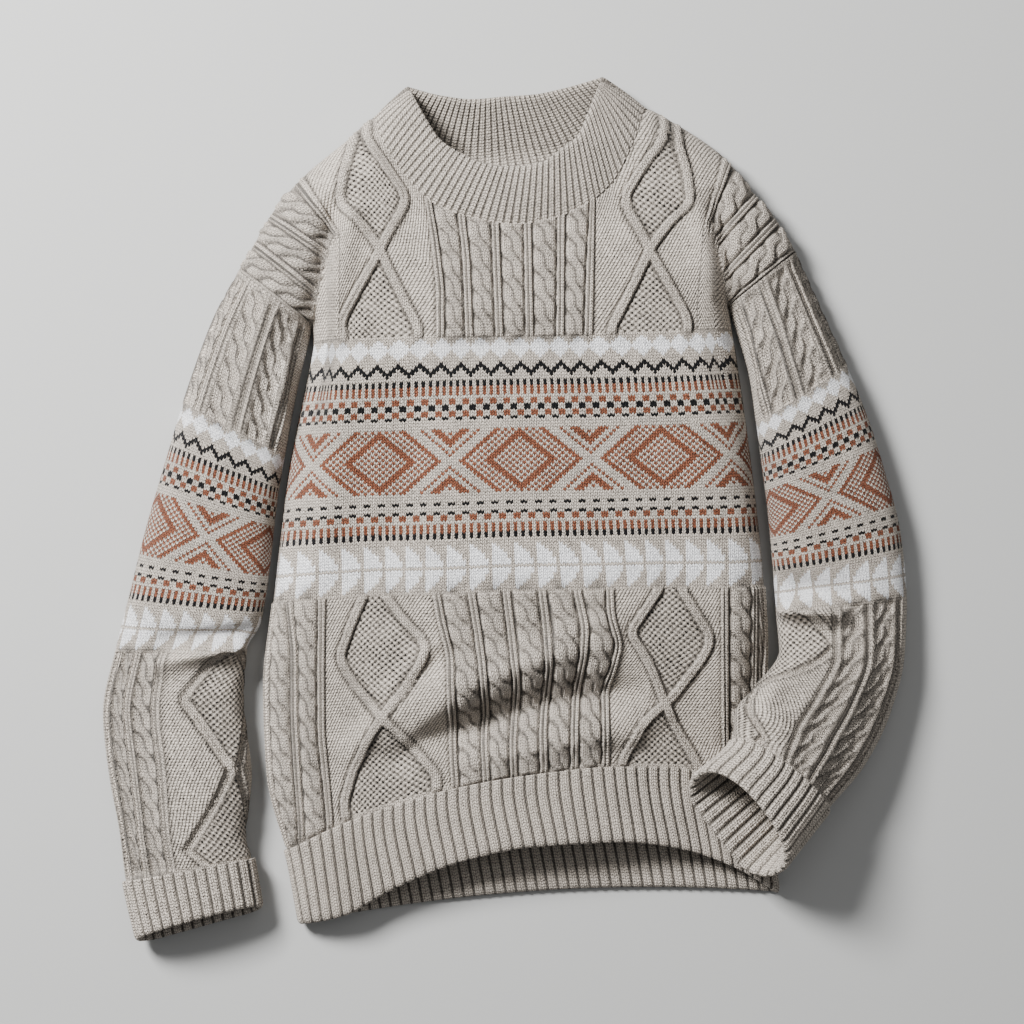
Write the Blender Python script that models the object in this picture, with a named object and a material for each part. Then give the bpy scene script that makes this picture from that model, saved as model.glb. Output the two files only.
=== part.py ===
"""Cable knit sweater, softly filled and laid flat on its back.

Tables are in millimetres, seen from above: x to the viewer's right, y towards the neck,
z up from the surface that it lies on. The origin is on the back's flat underside.
A place on the knitting is given by two numbers: a column number (wale), 0 at the viewer's
left side seam and 8 at the right one, and a row number (course), as ROWS lists them.
"""
import bmesh
import bpy
import numpy as np

for thing in list(bpy.data.objects):
    bpy.data.objects.remove(thing, do_unlink=True)

MILLIMETRE = 0.001

# Cloth
PANEL_WALL = 3.0          # body and sleeves, a heavy knit
RIB_WALL = 3.0            # each layer of hem and cuff rib
COLLAR_WALL = 5.0         # the neck rib, folded double
SEAM_HEIGHT = 10.0        # the side seams, above the surface
SEAM_GAP = 0.3            # between two pieces sewn together
SIDE_ROUND = 48.0         # how far in from its side the front rounds over
BACK_ROUND = 14.0         # and the back

# Raised stitches
CABLE_LIFT = 2.6
CABLE_DIP = 0.5
RIB_PAIR_LIFT = 1.7
LATTICE_LIFT = 1.9
GUTTER = -0.3
RIB_DEPTH = 1.8           # hem and cuff ribs
RIB_UNDER = 1.1           # from a panel up to the rib turned over it
RIB_OVER = RIB_UNDER + RIB_WALL
LIP_EDGE = 1.0            # the turned edge, where the rib ends
BACK_OVER_HEM = RIB_OVER  # the back is lifted where it lies on its own turned hem
NECK_RIB_DEPTH = 0.9

# Where the front's guide wales cross its guide courses: wales 0 to 8, left to right
ROWS = (
    # course, then the place of each guide wale, 0 to 8
    ("hem fold",    (-178, -348), (-141, -339), (-97, -315), (-38, -291), (22, -279),
     (90, -276), (137, -282), (185, -298), (225, -322)),
    ("hem seam",    (-188, -294), (-149, -273), (-107, -256), (-47, -237), (13, -226),
     (82, -220), (127, -221), (176, -232), (216, -254)),
    ("low belly",   (-207, -221), (-156, -206), (-108, -193), (-47, -186), (14, -175),
     (78, -166), (128, -167), (180, -174), (216, -189)),
    ("high belly",  (-210, -148), (-157, -138), (-111, -131), (-50, -130), (16, -119),
     (84, -113), (130, -115), (180, -117), (216, -125)),
    ("band foot",   (-202, -75), (-157, -71), (-112, -68), (-63, -67), (9, -64),
     (82, -63), (131, -62), (179, -62), (213, -61)),
    ("band middle", (-189, 33), (-152, 35), (-111, 37), (-61, 38), (6, 40),
     (73, 41), (122, 42), (169, 43), (202, 44)),
    ("band head",   (-168, 141), (-145, 141), (-110, 142), (-59, 144), (2, 145),
     (65, 146), (115, 147), (156, 149), (186.5, 152)),
    ("crease",      (-169, 156), (-145, 233), (-112, 230), (-59, 203), (2, 195),
     (63, 205), (115, 233), (161, 242), (183, 174)),
)
HEM_FOLD, HEM_SEAM, BAND_FOOT, BAND_HEAD, CREASE, TOP = 0, 1, 4, 6, 7, 8
LAST_WALE = 8

# Shoulder, neck and shoulder again, the front's top edge
TOP_EDGE = (
    # wale, x, y
    (0.00, -232, 203),
    (0.33, -216, 230),
    (0.67, -202, 254),
    (1.00, -176, 284),
    (1.50, -141, 313),
    (1.85, -117, 333),
    (2.05, -107, 311),
    (2.40, -93, 288),
    (3.00, -62, 257),
    (3.50, -31, 246),
    (4.00, 2, 241),
    (4.50, 33, 246),
    (5.00, 63, 259),
    (5.60, 85, 280),
    (5.95, 101, 312),
    (6.15, 113, 341),
    (6.50, 142, 326),
    (7.00, 178, 301),
    (7.33, 203, 271),
    (7.67, 221, 250),
    (8.00, 240, 220),
)
NECK_LEFT, NECK_RIGHT = 1.85, 6.15
BACK_NECK_DIP = 28.0      # the back's neckline, below its two neck points

# How high the front stands at the left, middle and right of each course
CROWN = (
    # left, middle, right
    (26, 41, 23),     # hem fold
    (33, 43, 22),     # hem seam
    (38, 46, 26),     # low belly
    (43, 48, 34),     # high belly
    (46, 50, 43),     # band foot
    (46, 50, 46),     # band middle
    (46, 50, 46),     # band head
    (45, 49, 45),     # crease
    (41, 44, 41),     # top
)

# The largest folds, each a soft ridge (+) or trough (-) along a bent line
FOLDS = (
    # start, bend, end, height, half width
    ((-122, -190), (-60, -105), (88, -108), 6.0, 15.0),      # ridge across the belly
    ((-72, -196), (20, -135), (112, -150), -9.0, 15.0),      # hollow below it
    ((-35, -219), (40, -191), (107, -181), 4.0, 13.0),       # ridge above the hem
    ((-147, 268), (-156, 215), (-172, 152), -6.0, 9.0),      # left armhole crease
    ((-132, 262), (-138, 205), (-155, 140), 3.0, 10.0),      # and the fold beside it
    ((168, 272), (178, 215), (192, 155), -6.0, 9.0),         # right armhole crease
    ((152, 262), (162, 210), (174, 140), 3.0, 10.0),         # and the fold beside it
    ((-140, 120), (-150, 20), (-165, -60), 2.5, 18.0),       # left of the chest
    ((-75, 130), (-85, 40), (-95, -40), -3.0, 22.0),         # hollow beside it
    ((224, -100), (205, -160), (190, -215), -8.0, 22.0),     # pressed in under the right forearm
)

# Sleeves: the outer and inner edge of each section as seen from above
SLEEVE_LEFT = (
    # outer x, y,  inner x, y, foot outer, foot inner, side, top, lean
    (-232, 203, -169, 156, 0.0, 0.0, 10, 40, 0.0),     # armhole
    (-252, 163, -182, 101, 0.0, 0.0, 12, 43, 0.0),
    (-276, 97, -191, 52, 0.0, 0.0, 13, 44, 0.0),
    (-293, 41, -199, 3, 0.0, 0.0, 14, 44, 0.0),
    (-309, -14, -204, -43, 0.0, 0.0, 14, 44, 0.0),
    (-324, -74, -212, -93, 0.0, 0.0, 14, 43, 0.0),
    (-335, -118, -224, -117, 0.0, 0.0, 14, 37, 0.0),   # elbow
    (-345, -169, -227, -159, 0.0, 0.0, 14, 43, 0.0),
    (-340, -220, -220, -222, 0.0, 0.0, 14, 44, 0.0),
    (-331, -267, -225, -270, 2.0, 2.0, 14, 42, 0.0),
    (-325, -311, -220, -292, 4.2, 4.2, 14, 38, 0.1),   # cuff's turned edge
    (-314, -360, -213, -332, 4.2, 4.2, 14, 36, 0.3),   # cuff's fold
)
SLEEVE_RIGHT = (
    (240, 220, 183, 174, 0.0, 0.0, 10, 40, 0.0),
    (261, 171, 201, 113, 0.0, 0.0, 12, 43, 0.0),
    (281, 127, 206, 78, 0.0, 0.0, 13, 44, 0.0),
    (301, 77, 211, 39, 0.0, 0.0, 14, 44, 0.0),
    (314, 36, 216, 0, 0.0, 0.0, 14, 44, 0.0),
    (328, -19, 220, -45, 0.0, 0.0, 14, 43, 0.0),
    (333, -74, 223, -84, 0.0, 0.0, 14, 40, 0.0),
    (331, -121, 225, -116, 0.0, 9.0, 14, 44, 0.0),     # elbow
    (319, -168, 204, -144, 2.0, 25.0, 15, 46, 0.1),
    (297, -210, 186, -167, 10.0, 29.0, 17, 48, 0.2),
    (261, -250, 185, -188, 20.0, 34.0, 22, 52, 0.4),   # cuff's turned edge
    (219, -297, 156, -216, 38.0, 39.0, 24, 54, 0.8),   # cuff's fold
)
ARMHOLE, CUFF_EDGE, CUFF_FOLD = 0, 10, 11

# Collar rim, from its left fold to its right fold
RIM_FRONT = ((-86, 354), (-76, 335), (-59, 309), (-42, 298), (-25, 290), (-8, 287), (9, 287),
             (26, 291), (43, 303), (55, 313), (63, 330), (70, 348), (75, 361))
RIM_BACK = ((-88, 358), (-60, 351), (-34, 348), (-8, 350), (19, 352), (44, 357), (76, 366))


def glide(values, at):
    """Smooth curve through evenly numbered values, without overshoot."""
    values = np.asarray(values, float)
    at = np.asarray(at, float)
    rise = np.diff(values, axis=0)
    slope = np.zeros_like(values)
    both = rise[:-1] * rise[1:]
    total = rise[:-1] + rise[1:]
    total = np.where(np.abs(total) < 1e-9, 1.0, total)
    slope[1:-1] = np.where(both > 0, 2 * both / total, 0)
    slope[0] = rise[0]
    slope[-1] = rise[-1]
    low = np.clip(np.floor(at).astype(int), 0, len(values) - 2)
    f = at - low
    if values.ndim == 3:
        pick = np.arange(len(at))
        start, end = values[low, pick], values[low + 1, pick]
        leave, arrive = slope[low, pick], slope[low + 1, pick]
    else:
        start, end = values[low], values[low + 1]
        leave, arrive = slope[low], slope[low + 1]
    f = f.reshape(f.shape + (1,) * (start.ndim - 1))
    return ((1 + 2 * f) * (1 - f) ** 2 * start + f * (1 - f) ** 2 * leave
            + f * f * (3 - 2 * f) * end + f * f * (f - 1) * arrive)


def unit(vectors):
    length = np.linalg.norm(vectors, axis=-1, keepdims=True)
    return vectors / np.maximum(length, 1e-9)


def top_edge(wale):
    """The front's top edge, shoulders and neck, at a wale."""
    table = np.array(TOP_EDGE, float)
    place = np.interp(wale, table[:, 0], np.arange(len(table)))
    return glide(table[:, 1:], place)


def front_plan(wale, course):
    """Where a wale and a course of the front cross, seen from above."""
    wale, course = np.broadcast_arrays(np.asarray(wale, float), np.asarray(course, float))
    guides = np.stack([glide(row[1:], wale) for row in ROWS])
    low = glide(guides, np.minimum(course, CREASE))
    high = np.clip(course - CREASE, 0, 1)[:, None]
    return low + high * (top_edge(wale) - guides[-1])


def bent_line(start, bend, end, count=13):
    t = np.linspace(0, 1, count)[:, None]
    return (1 - t) ** 2 * np.array(start) + 2 * t * (1 - t) * np.array(bend) + t * t * np.array(end)


def reach(line, points):
    """Distance from each point to a line, and how far along it the nearest place is."""
    best = np.full(len(points), 1e9)
    along = np.zeros(len(points))
    steps = len(line) - 1
    for k in range(steps):
        run = line[k + 1] - line[k]
        t = np.clip(((points - line[k]) @ run) / (run @ run), 0, 1)
        gap = np.linalg.norm(points - line[k] - t[:, None] * run, axis=1)
        nearer = gap < best
        best = np.where(nearer, gap, best)
        along = np.where(nearer, (k + t) / steps, along)
    return best, along


def side_outline(wale, neck):
    """One side of the body: up the side seam to the armhole, then along the shoulder."""
    courses = np.linspace(HEM_FOLD, CREASE, 22)
    side = front_plan(np.full(22, float(wale)), courses)
    shoulder = top_edge(np.linspace(wale, neck, 9))
    return side, shoulder


OUTLINES = (*side_outline(0, NECK_LEFT), *side_outline(LAST_WALE, NECK_RIGHT))


def inset_from_sides(plan):
    """How far a place lies in from the nearest side seam or shoulder seam."""
    return np.min([reach(line, plan)[0] for line in OUTLINES], axis=0)


def fold_height(plan, course):
    """The folds' height at each place. They die out where the turned hem lies over them."""
    height = np.zeros(len(plan))
    for start, bend, end, lift, width in FOLDS:
        gap, along = reach(bent_line(start, bend, end), plan)
        height += lift * np.exp(-(gap / width) ** 2) * (1 - np.abs(2 * along - 1) ** 4)
    return height * np.clip((course - 1.15) / 0.4, 0, 1)


def front_surface(wale, course):
    """The front's outer face without its raised stitches."""
    wale, course = np.broadcast_arrays(np.asarray(wale, float), np.asarray(course, float))
    plan = front_plan(wale, course)
    inset = np.minimum(inset_from_sides(plan) / SIDE_ROUND, 1)
    thirds = glide(np.array(CROWN, float), course)
    across = np.clip((wale - 1.5) / 2.5, 0, 2)
    crown = glide(np.repeat(thirds.T[:, :, None], 1, axis=2), across)[:, 0]
    round_off = np.sqrt(1 - (1 - inset) ** 2)
    height = SEAM_HEIGHT + (crown + fold_height(plan, course) - SEAM_HEIGHT) * round_off
    return np.column_stack([plan, height])


def back_neck(fraction):
    """The back's neckline, from the left neck point to the right one."""
    ends = top_edge(np.array([NECK_LEFT, NECK_RIGHT]))
    line = ends[0] + (ends[1] - ends[0]) * fraction[:, None]
    line[:, 1] -= BACK_NECK_DIP * np.sin(np.pi * fraction) ** 0.6
    return line


def back_surface(wale, course):
    """The back's outer face, flat on the surface and turned up to the seams."""
    wale, course = np.broadcast_arrays(np.asarray(wale, float), np.asarray(course, float))
    low = np.minimum(course, CREASE)
    left = front_plan(np.zeros_like(wale), low)
    right = front_plan(np.full_like(wale, LAST_WALE), low)
    across = (wale / LAST_WALE)[:, None]
    plan = left + (right - left) * across
    sag = np.interp(low, [HEM_FOLD, HEM_SEAM, BAND_FOOT], [14.0, 8.0, 0.0])
    plan[:, 1] += sag * (1 - (2 * across[:, 0] - 1) ** 2)
    neck_part = np.clip((wale - NECK_LEFT) / (NECK_RIGHT - NECK_LEFT), 0, 1)
    in_neck = (wale > NECK_LEFT) & (wale < NECK_RIGHT)
    top = np.where(in_neck[:, None], back_neck(neck_part), top_edge(wale))
    plan += np.clip(course - CREASE, 0, 1)[:, None] * (top - plan)
    inset = np.minimum(inset_from_sides(plan) / BACK_ROUND, 1)
    height = SEAM_HEIGHT * (1 - np.sqrt(1 - (1 - inset) ** 2))
    over_hem = np.clip((1.6 - course) / 0.5, 0, 1)
    height += BACK_OVER_HEM * over_hem ** 2 * (3 - 2 * over_hem) * inset
    return np.column_stack([plan, height])


def sleeve_sections(table, wale, around, station):
    """A tube through a sleeve's sections, flat underneath and rounded on top."""
    row = glide(np.array(table, float), station)
    outer, inner = row[:, 0:2], row[:, 2:4]
    turn = 2 * np.pi * (around - 0.25)
    across = np.sign(np.cos(turn)) * np.abs(np.cos(turn)) ** 0.9
    share = (1 - across) / 2
    above = np.sin(turn)
    upper = row[:, 6] + (row[:, 7] - row[:, 6]) * np.abs(above) ** 0.85
    width = np.linalg.norm(inner - outer, axis=1)
    corner = np.clip(np.minimum(share, 1 - share) * width / row[:, 6], 0, 1)
    lower = row[:, 6] * (1 - np.sqrt(1 - (1 - corner) ** 2))
    foot = row[:, 4] * (1 - share) + row[:, 5] * share
    plan = outer + (inner - outer) * share[:, None]
    height = foot + np.where(above > 0, upper, lower)
    side = unit(inner - outer)
    run = np.column_stack([side[:, 1], -side[:, 0]])
    if wale != 0:
        run = -run
    backward = row[:, 8] * (height - foot - row[:, 7] / 2)
    plan = plan - run * backward[:, None]
    return np.column_stack([plan, height]), share, above > 0


def sleeve_surface(table, wale, around, station):
    """A sleeve's outer face. around is 0 under the arm, 0.25 at its outer edge, 0.5 on top."""
    around, station = np.broadcast_arrays(np.asarray(around, float), np.asarray(station, float))
    loft, _, _ = sleeve_sections(table, wale, around, station)
    start, share, on_top = sleeve_sections(table, wale, around, 0 * station)
    top = front_surface(np.full(len(share), float(wale)), TOP - share)
    bottom = back_surface(np.full(len(share), float(wale)), TOP - share)
    seam = np.where(on_top[:, None], top, bottom)
    blend = np.clip(1 - station, 0, 1)[:, None]
    blend = blend ** 2 * (3 - 2 * blend)
    return loft + blend * (seam - start)


def lifted(surface, first, second, lift, flip=1, step=0.02):
    """A surface's points moved out along its normal by lift."""
    first, second = np.broadcast_arrays(np.asarray(first, float), np.asarray(second, float))
    across = surface(first + step, second) - surface(first - step, second)
    along = surface(first, second + step) - surface(first, second - step)
    normal = unit(np.cross(across, along)) * flip
    return surface(first, second) + normal * np.asarray(lift, float).reshape(-1, 1)


def inside(surface, top_wale=LAST_WALE, top_course=TOP, first_course=HEM_FOLD):
    """The same surface, with the numbers that ask for it kept within its edges."""
    def held(first, second):
        return surface(np.clip(first, 0, top_wale), np.clip(second, first_course, top_course))
    return held


front_face = inside(front_surface)
back_face = inside(back_surface)


# ---------------------------------------------------------------- building solids

def stitch(bm, first, first_at, second, second_at, ring=False):
    """Join two strings of points, which may have different counts, with triangles."""
    first, second = list(first), list(second)
    first_at, second_at = list(first_at), list(second_at)
    if ring:
        first.append(first[0])
        second.append(second[0])
        first_at.append(first_at[0] + 1)
        second_at.append(second_at[0] + 1)
    i = j = 0
    while i < len(first) - 1 or j < len(second) - 1:
        step_first = j == len(second) - 1
        if not step_first and i < len(first) - 1:
            step_first = first_at[i + 1] <= second_at[j + 1] + 1e-6
        if step_first:
            bm.faces.new((first[i], second[j], first[i + 1]))
            i += 1
        else:
            bm.faces.new((first[i], second[j], second[j + 1]))
            j += 1


def add_points(bm, points):
    return [bm.verts.new(tuple(point * MILLIMETRE)) for point in points]


def finish_solid(bm, name, material):
    bmesh.ops.recalc_face_normals(bm, faces=bm.faces)
    mesh = bpy.data.meshes.new(name)
    bm.to_mesh(mesh)
    bm.free()
    mesh.shade_smooth()
    mesh.materials.append(material)
    piece = bpy.data.objects.new(name, mesh)
    bpy.context.scene.collection.objects.link(piece)
    return piece


def panel_solid(name, material, outer, inner, tube=False):
    """A wall between strings of outer points and strings of inner points.

    Each string is (places across at its two ends, places along, points).
    """
    bm = bmesh.new()
    faces = []
    for strings in (outer, inner):
        faces.append([(ends, along, add_points(bm, points)) for ends, along, points in strings])
    for strings in faces:
        pairs = list(zip(strings, strings[1:] + strings[:1] if tube else strings[1:]))
        for (_, first_at, first), (_, second_at, second) in pairs:
            stitch(bm, first, first_at, second, second_at)
    for end in (0, -1):
        stitch(bm, [s[2][end] for s in faces[0]], [s[0][end] for s in faces[0]],
               [s[2][end] for s in faces[1]], [s[0][end] for s in faces[1]], ring=tube)
        if not tube:
            _, first_at, first = faces[0][end]
            _, second_at, second = faces[1][end]
            stitch(bm, first, first_at, second, second_at)
    return finish_solid(bm, name, material)


def band_solid(name, material, rows, ring):
    """A wall whose section is a closed loop of rows. Each row is (places along, points)."""
    bm = bmesh.new()
    made = [(along, add_points(bm, points)) for along, points in rows]
    for (first_at, first), (second_at, second) in zip(made, made[1:] + made[:1]):
        stitch(bm, first, first_at, second, second_at, ring=ring)
    if not ring:
        for end in (0, -1):
            bm.faces.new([points[end] for _, points in made])
    return finish_solid(bm, name, material)


def wool(name, colour):
    material = bpy.data.materials.new(name)
    material.use_nodes = True
    shader = material.node_tree.nodes["Principled BSDF"]
    shader.inputs["Base Color"].default_value = (*colour, 1)
    shader.inputs["Roughness"].default_value = 0.95
    shader.inputs["Metallic"].default_value = 0
    return material


OATMEAL = (0.52, 0.47, 0.41)


# ---------------------------------------------------------------- raised stitches

def cable_wales(centre, half):
    """One cable: gutter, left strand, middle, right strand, gutter."""
    return [
        ("gutter", centre - 1.4 * half),
        ("left", centre - 0.85 * half),
        ("middle", centre),
        ("right", centre + 0.85 * half),
        ("gutter", centre + 1.4 * half),
    ]


def rib_pair_wales(centre, half):
    return [("rib", centre - half), ("rib", centre + half)]


SIDE_PITCH = 1 / 3
MIDDLE_PITCH = 0.376
MIDDLE_START = 3.06


def front_wales():
    """The front's strings of stitches from left to right: (kind, wale)."""
    wales = [("edge", 0.0)]
    for k in range(3):
        start = k * SIDE_PITCH
        wales += cable_wales(start + 0.125, 0.062)
        wales += rib_pair_wales(start + 0.278, 0.026)
    wales += [("lattice left", k) for k in (-1, 0, 1)] + [("diamond", 2.0)]
    wales += [("lattice right", k) for k in (-1, 0, 1)] + [("fan", 2.92)]
    for k in range(6):
        centre = MIDDLE_START + k * MIDDLE_PITCH
        wales += rib_pair_wales(centre, 0.028)
        if k < 5:
            wales += cable_wales(centre + MIDDLE_PITCH / 2, 0.077)
    right = [(kind, LAST_WALE - wale) for kind, wale in reversed(wales[:22])]
    swap = {"left": "right", "right": "left"}
    right = [(swap.get(kind, kind), wale) for kind, wale in right]
    wales += [("fan", 5.08)] + [("far lattice left", k) for k in (-1, 0, 1)] + [("diamond", 6.0)]
    wales += [("far lattice right", k) for k in (-1, 0, 1)]
    return wales + right


LATTICE = (
    # course, half spread of the two raised bands in wales
    (1.00, 0.52),
    (1.42, 0.68),
    (2.30, 0.00),
    (3.20, 0.68),
    (4.05, 0.00),
    (6.15, 0.68),
    (6.90, 0.00),
    (7.40, 0.68),
    (7.90, 0.05),
)
LATTICE_HALF = 0.055      # half the width of a raised band, in wales


def lattice_wale(centre, side, strand, course):
    """side -1 or 1 for the left or right band, strand -1, 0, 1 for its edges and its top."""
    table = np.array(LATTICE)
    spread = np.interp(course, table[:, 0], table[:, 1])
    return centre + side * (spread + LATTICE_HALF * 1.2) + strand * LATTICE_HALF


def knit_zone(course):
    """1 where the cables show, 0 in the colour band and under the hem's edge."""
    low = np.clip((course - 1.17) / 0.08, 0, 1) * np.clip((BAND_FOOT - course) / 0.06, 0, 1)
    high = np.clip((course - BAND_HEAD) / 0.06, 0, 1)
    return np.maximum(low, high)


LOWER_CROSSINGS = 10


def front_courses(kind, wale):
    """The courses at which one string of the front has points, and whether a crossing."""
    low_start, low_end = 1.18, BAND_FOOT - 0.07
    if kind in ("left", "middle", "right"):
        upper = 7 if abs(wale - 4) > 3 else 5
        low = np.linspace(low_start, low_end, 2 * LOWER_CROSSINGS + 1)
        high = np.linspace(BAND_HEAD + 0.07, TOP - 0.06, 2 * upper + 1)
    elif "lattice" in kind or kind in ("diamond", "fan"):
        low = np.array([1.18, 1.42, 1.86, 2.3, 2.75, 3.2, 3.62, low_end])
        high = np.array([BAND_HEAD + 0.07, 6.5, 6.9, 7.15, 7.4, 7.65, 7.9])
    else:
        low = np.linspace(low_start, low_end, 8)
        high = np.array([BAND_HEAD + 0.07, 6.53, CREASE, 7.4, TOP - 0.06])
    between = np.array([BAND_FOOT, 4.65, 5.35, BAND_HEAD])
    return np.concatenate([[FRONT_FOOT], low, between, high, [TOP]]), len(low), len(high)


def front_string(kind, wale):
    """One string of the front's outer points."""
    courses, lows, highs = front_courses(kind, wale)
    count = len(courses)
    if "lattice" in kind:
        centre = 6.0 if kind.startswith("far") else 2.0
        side = -1 if kind.endswith("left") else 1
        wales = lattice_wale(centre, side, wale, courses)
        lift = np.full(count, LATTICE_LIFT if wale == 0 else 0.0)
    else:
        wales = np.full(count, float(wale))
        lift = np.zeros(count)
    if kind == "fan":
        wales += np.sign(wale - 4) * 0.32 * np.clip((courses - 7.4) / 0.5, 0, 1)
    if kind == "gutter":
        lift += GUTTER
    if kind == "rib":
        lift += RIB_PAIR_LIFT
    if kind in ("left", "middle", "right"):
        odd = np.zeros(count, int)
        odd[1:1 + lows] = np.arange(lows) % 2
        odd[-1 - highs:-1] = np.arange(highs) % 2
        crossing = odd if kind == "middle" else 1 - odd
        lift += np.where(crossing == 1, CABLE_LIFT, CABLE_DIP)
    edge_fade = 0.3 + 0.7 * np.clip(np.minimum(wales, LAST_WALE - wales) / 0.15, 0, 1)
    lift = lift * knit_zone(courses) * edge_fade * (courses < TOP)
    return (wales[0], wales[-1]), courses, lifted(front_face, wales, courses, lift)


def armhole_plane(wale):
    """A point of the armhole seam's upright plane, and its direction down the sleeve."""
    shoulder, armpit = front_plan([wale, wale], [TOP, CREASE])
    side = unit(armpit - shoulder)
    down = np.array([side[1], -side[0], 0.0])
    if wale != 0:
        down = -down
    return np.array([*shoulder, 0.0]), down


def onto_armhole(points, wale, shift):
    """Points set on the armhole seam's plane, shift beyond it down the sleeve."""
    place, down = armhole_plane(wale)
    return points - np.outer((points - place) @ down - shift, down)


def trim_to_armholes(strings):
    """The first and last string's ends lie in the armholes' planes, and none pass them."""
    for end, wale in ((0, 0), (-1, LAST_WALE)):
        _, courses, points = strings[end]
        in_armhole = courses >= CREASE
        points[in_armhole] = onto_armhole(points[in_armhole], wale, -SEAM_GAP / 2)
        place, down = armhole_plane(wale)
        for _, courses, points in strings:
            passed = (points - place) @ down + SEAM_GAP / 2
            points -= np.outer(np.where(courses >= CREASE, np.maximum(passed, 0), 0), down)


def neckline_cut(points, wales, end):
    """Turn the last points of strings so that the neckline is cut upright."""
    run = top_edge(wales + 0.02) - top_edge(wales - 0.02)
    flat = unit(np.column_stack([run[:, 1], -run[:, 0], np.zeros(len(wales))]))
    edge = front_face(wales, end)
    leaning = np.sum((points - edge) * flat, axis=1, keepdims=True)
    return points - flat * leaning


def cut_front_neck(strings):
    for ends, _, points in strings:
        if NECK_LEFT <= ends[1] <= NECK_RIGHT:
            points[-1:] = neckline_cut(points[-1:], np.array([ends[1]]), np.array([float(TOP)]))


def plain_strings(face, wales, courses, lift, flip=1):
    return [((wale, wale), courses, lifted(face, wale, courses, lift + 0 * courses, flip))
            for wale in wales]


def neck_wales(places):
    """Wales of the neckline at places 0 to 1 along it, as the collar spaces them."""
    return NECK_LEFT + (NECK_RIGHT - NECK_LEFT) * (1 - np.cos(np.pi * places)) / 2


NECK_PLACES = np.linspace(0, 1, 15)


def both_sides(wales):
    """Wales of the left half, then the same ones mirrored."""
    return tuple(wales) + tuple(LAST_WALE - wale for wale in reversed(wales) if wale != 4.0)


FRONT_FOOT = 1.012        # the panels' lower edges, behind the hem's turned edge
INNER_WALES = (0.0, 0.35, 0.75, 1.3, *neck_wales(NECK_PLACES), 6.7, 7.25, 7.65, 8.0)
INNER_COURSES = np.array([FRONT_FOOT, 1.2, 1.45, 1.7, 1.95, 2.2, 2.45, 2.7, 2.95, 3.2, 3.5, 4.0,
                          5.0, 6.0, 6.5, CREASE - 0.03, CREASE, 7.25, 7.5, 7.75, TOP])
BACK_WALES = (0.0, 0.06, 0.18, 0.4, 1.0, *neck_wales(NECK_PLACES), 7.0, 7.6, 7.82, 7.94, 8.0)
BACK_COURSES = np.array([FRONT_FOOT, 1.15, 1.4, 1.7, 3.0, 4.5, 6.0, CREASE - 0.03, CREASE,
                         7.6, 7.85, 7.96, TOP])


def build_front(material):
    outer = [front_string(kind, wale) for kind, wale in front_wales()]
    outer += plain_strings(front_face, [LAST_WALE], outer[0][1], 0.0)
    inner = plain_strings(front_face, INNER_WALES, INNER_COURSES, -PANEL_WALL)
    for strings in (outer, inner):
        trim_to_armholes(strings)
        cut_front_neck(strings)
        for _, _, points in strings:
            points[:, 2] = np.maximum(points[:, 2], SEAM_HEIGHT + SEAM_GAP / 2)
    return panel_solid("front", material, outer, inner)


def build_back(material):
    outer = plain_strings(back_face, BACK_WALES, BACK_COURSES, 0.0, flip=-1)
    inner = plain_strings(back_face, BACK_WALES, BACK_COURSES, -PANEL_WALL, flip=-1)
    for strings in (outer, inner):
        trim_to_armholes(strings)
        for _, _, points in strings:
            points[:, 2] = np.clip(points[:, 2], 0, SEAM_HEIGHT - SEAM_GAP / 2)
    return panel_solid("back", material, outer, inner)


# ---------------------------------------------------------------- hem

HEM_RIBS = 46
PLAIN_HEM_WALES = both_sides((0.0, 0.04, 0.1, 0.18, 0.3, 0.45, 0.65, 0.9, 1.2, 1.5, 1.8, 2.2, 2.6, 3.0,
                              3.3, 3.65, 4.0))


def rib_places(path, ribs):
    """Where each rib's top and its gutter fall along a path of points, 0 to 1."""
    length = np.concatenate([[0], np.cumsum(np.linalg.norm(np.diff(path, axis=0), axis=1))])
    even = (np.arange(ribs)[:, None] + np.array([0.35, 0.85])).ravel() / ribs
    places = np.interp(even * length[-1], length, np.linspace(0, 1, len(path)))
    raised = np.tile([1.0, 0.0], ribs)
    return places, raised


def hem_row(face, course, lift, wales, flip, raised=0.0):
    """One row round the hem: lift at its gutters, plus raised at its ribs."""
    return wales / LAST_WALE, lifted(face, wales, course + 0 * wales, lift + raised, flip)


def hem_rows(face, flip, rib_wales, raised, shows_inside):
    """The turned-up rib's section: up its inside, over the seam, down its outside to the fold."""
    plain = np.array(PLAIN_HEM_WALES)
    if shows_inside:
        outer_wales, ribs, outside = plain, 0.0, RIB_OVER
    else:
        outer_wales, ribs, outside = rib_wales, raised * RIB_DEPTH, RIB_OVER - RIB_DEPTH
    rows = [
        hem_row(face, 0.06, outside, outer_wales, flip, ribs),
        hem_row(face, 0.5, outside, outer_wales, flip, ribs),
        hem_row(face, 1.1, outside, outer_wales, flip, ribs),
        hem_row(face, 1.135, RIB_UNDER + LIP_EDGE, outer_wales, flip),
        hem_row(face, 1.1, RIB_UNDER, plain, flip),
        hem_row(face, 1.0, RIB_UNDER, plain, flip),
    ]
    if shows_inside:
        inside_ribs = -raised * RIB_DEPTH
        rows += [hem_row(face, course, -RIB_WALL, rib_wales, flip, inside_ribs)
                 for course in (1.0, 0.5, 0.07)]
    else:
        rows += [hem_row(face, course, -RIB_WALL, plain, flip) for course in (1.0, 0.5, 0.07)]
    rows.append(hem_row(face, 0.0, 0.4, rib_wales, flip))
    return rows


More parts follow.
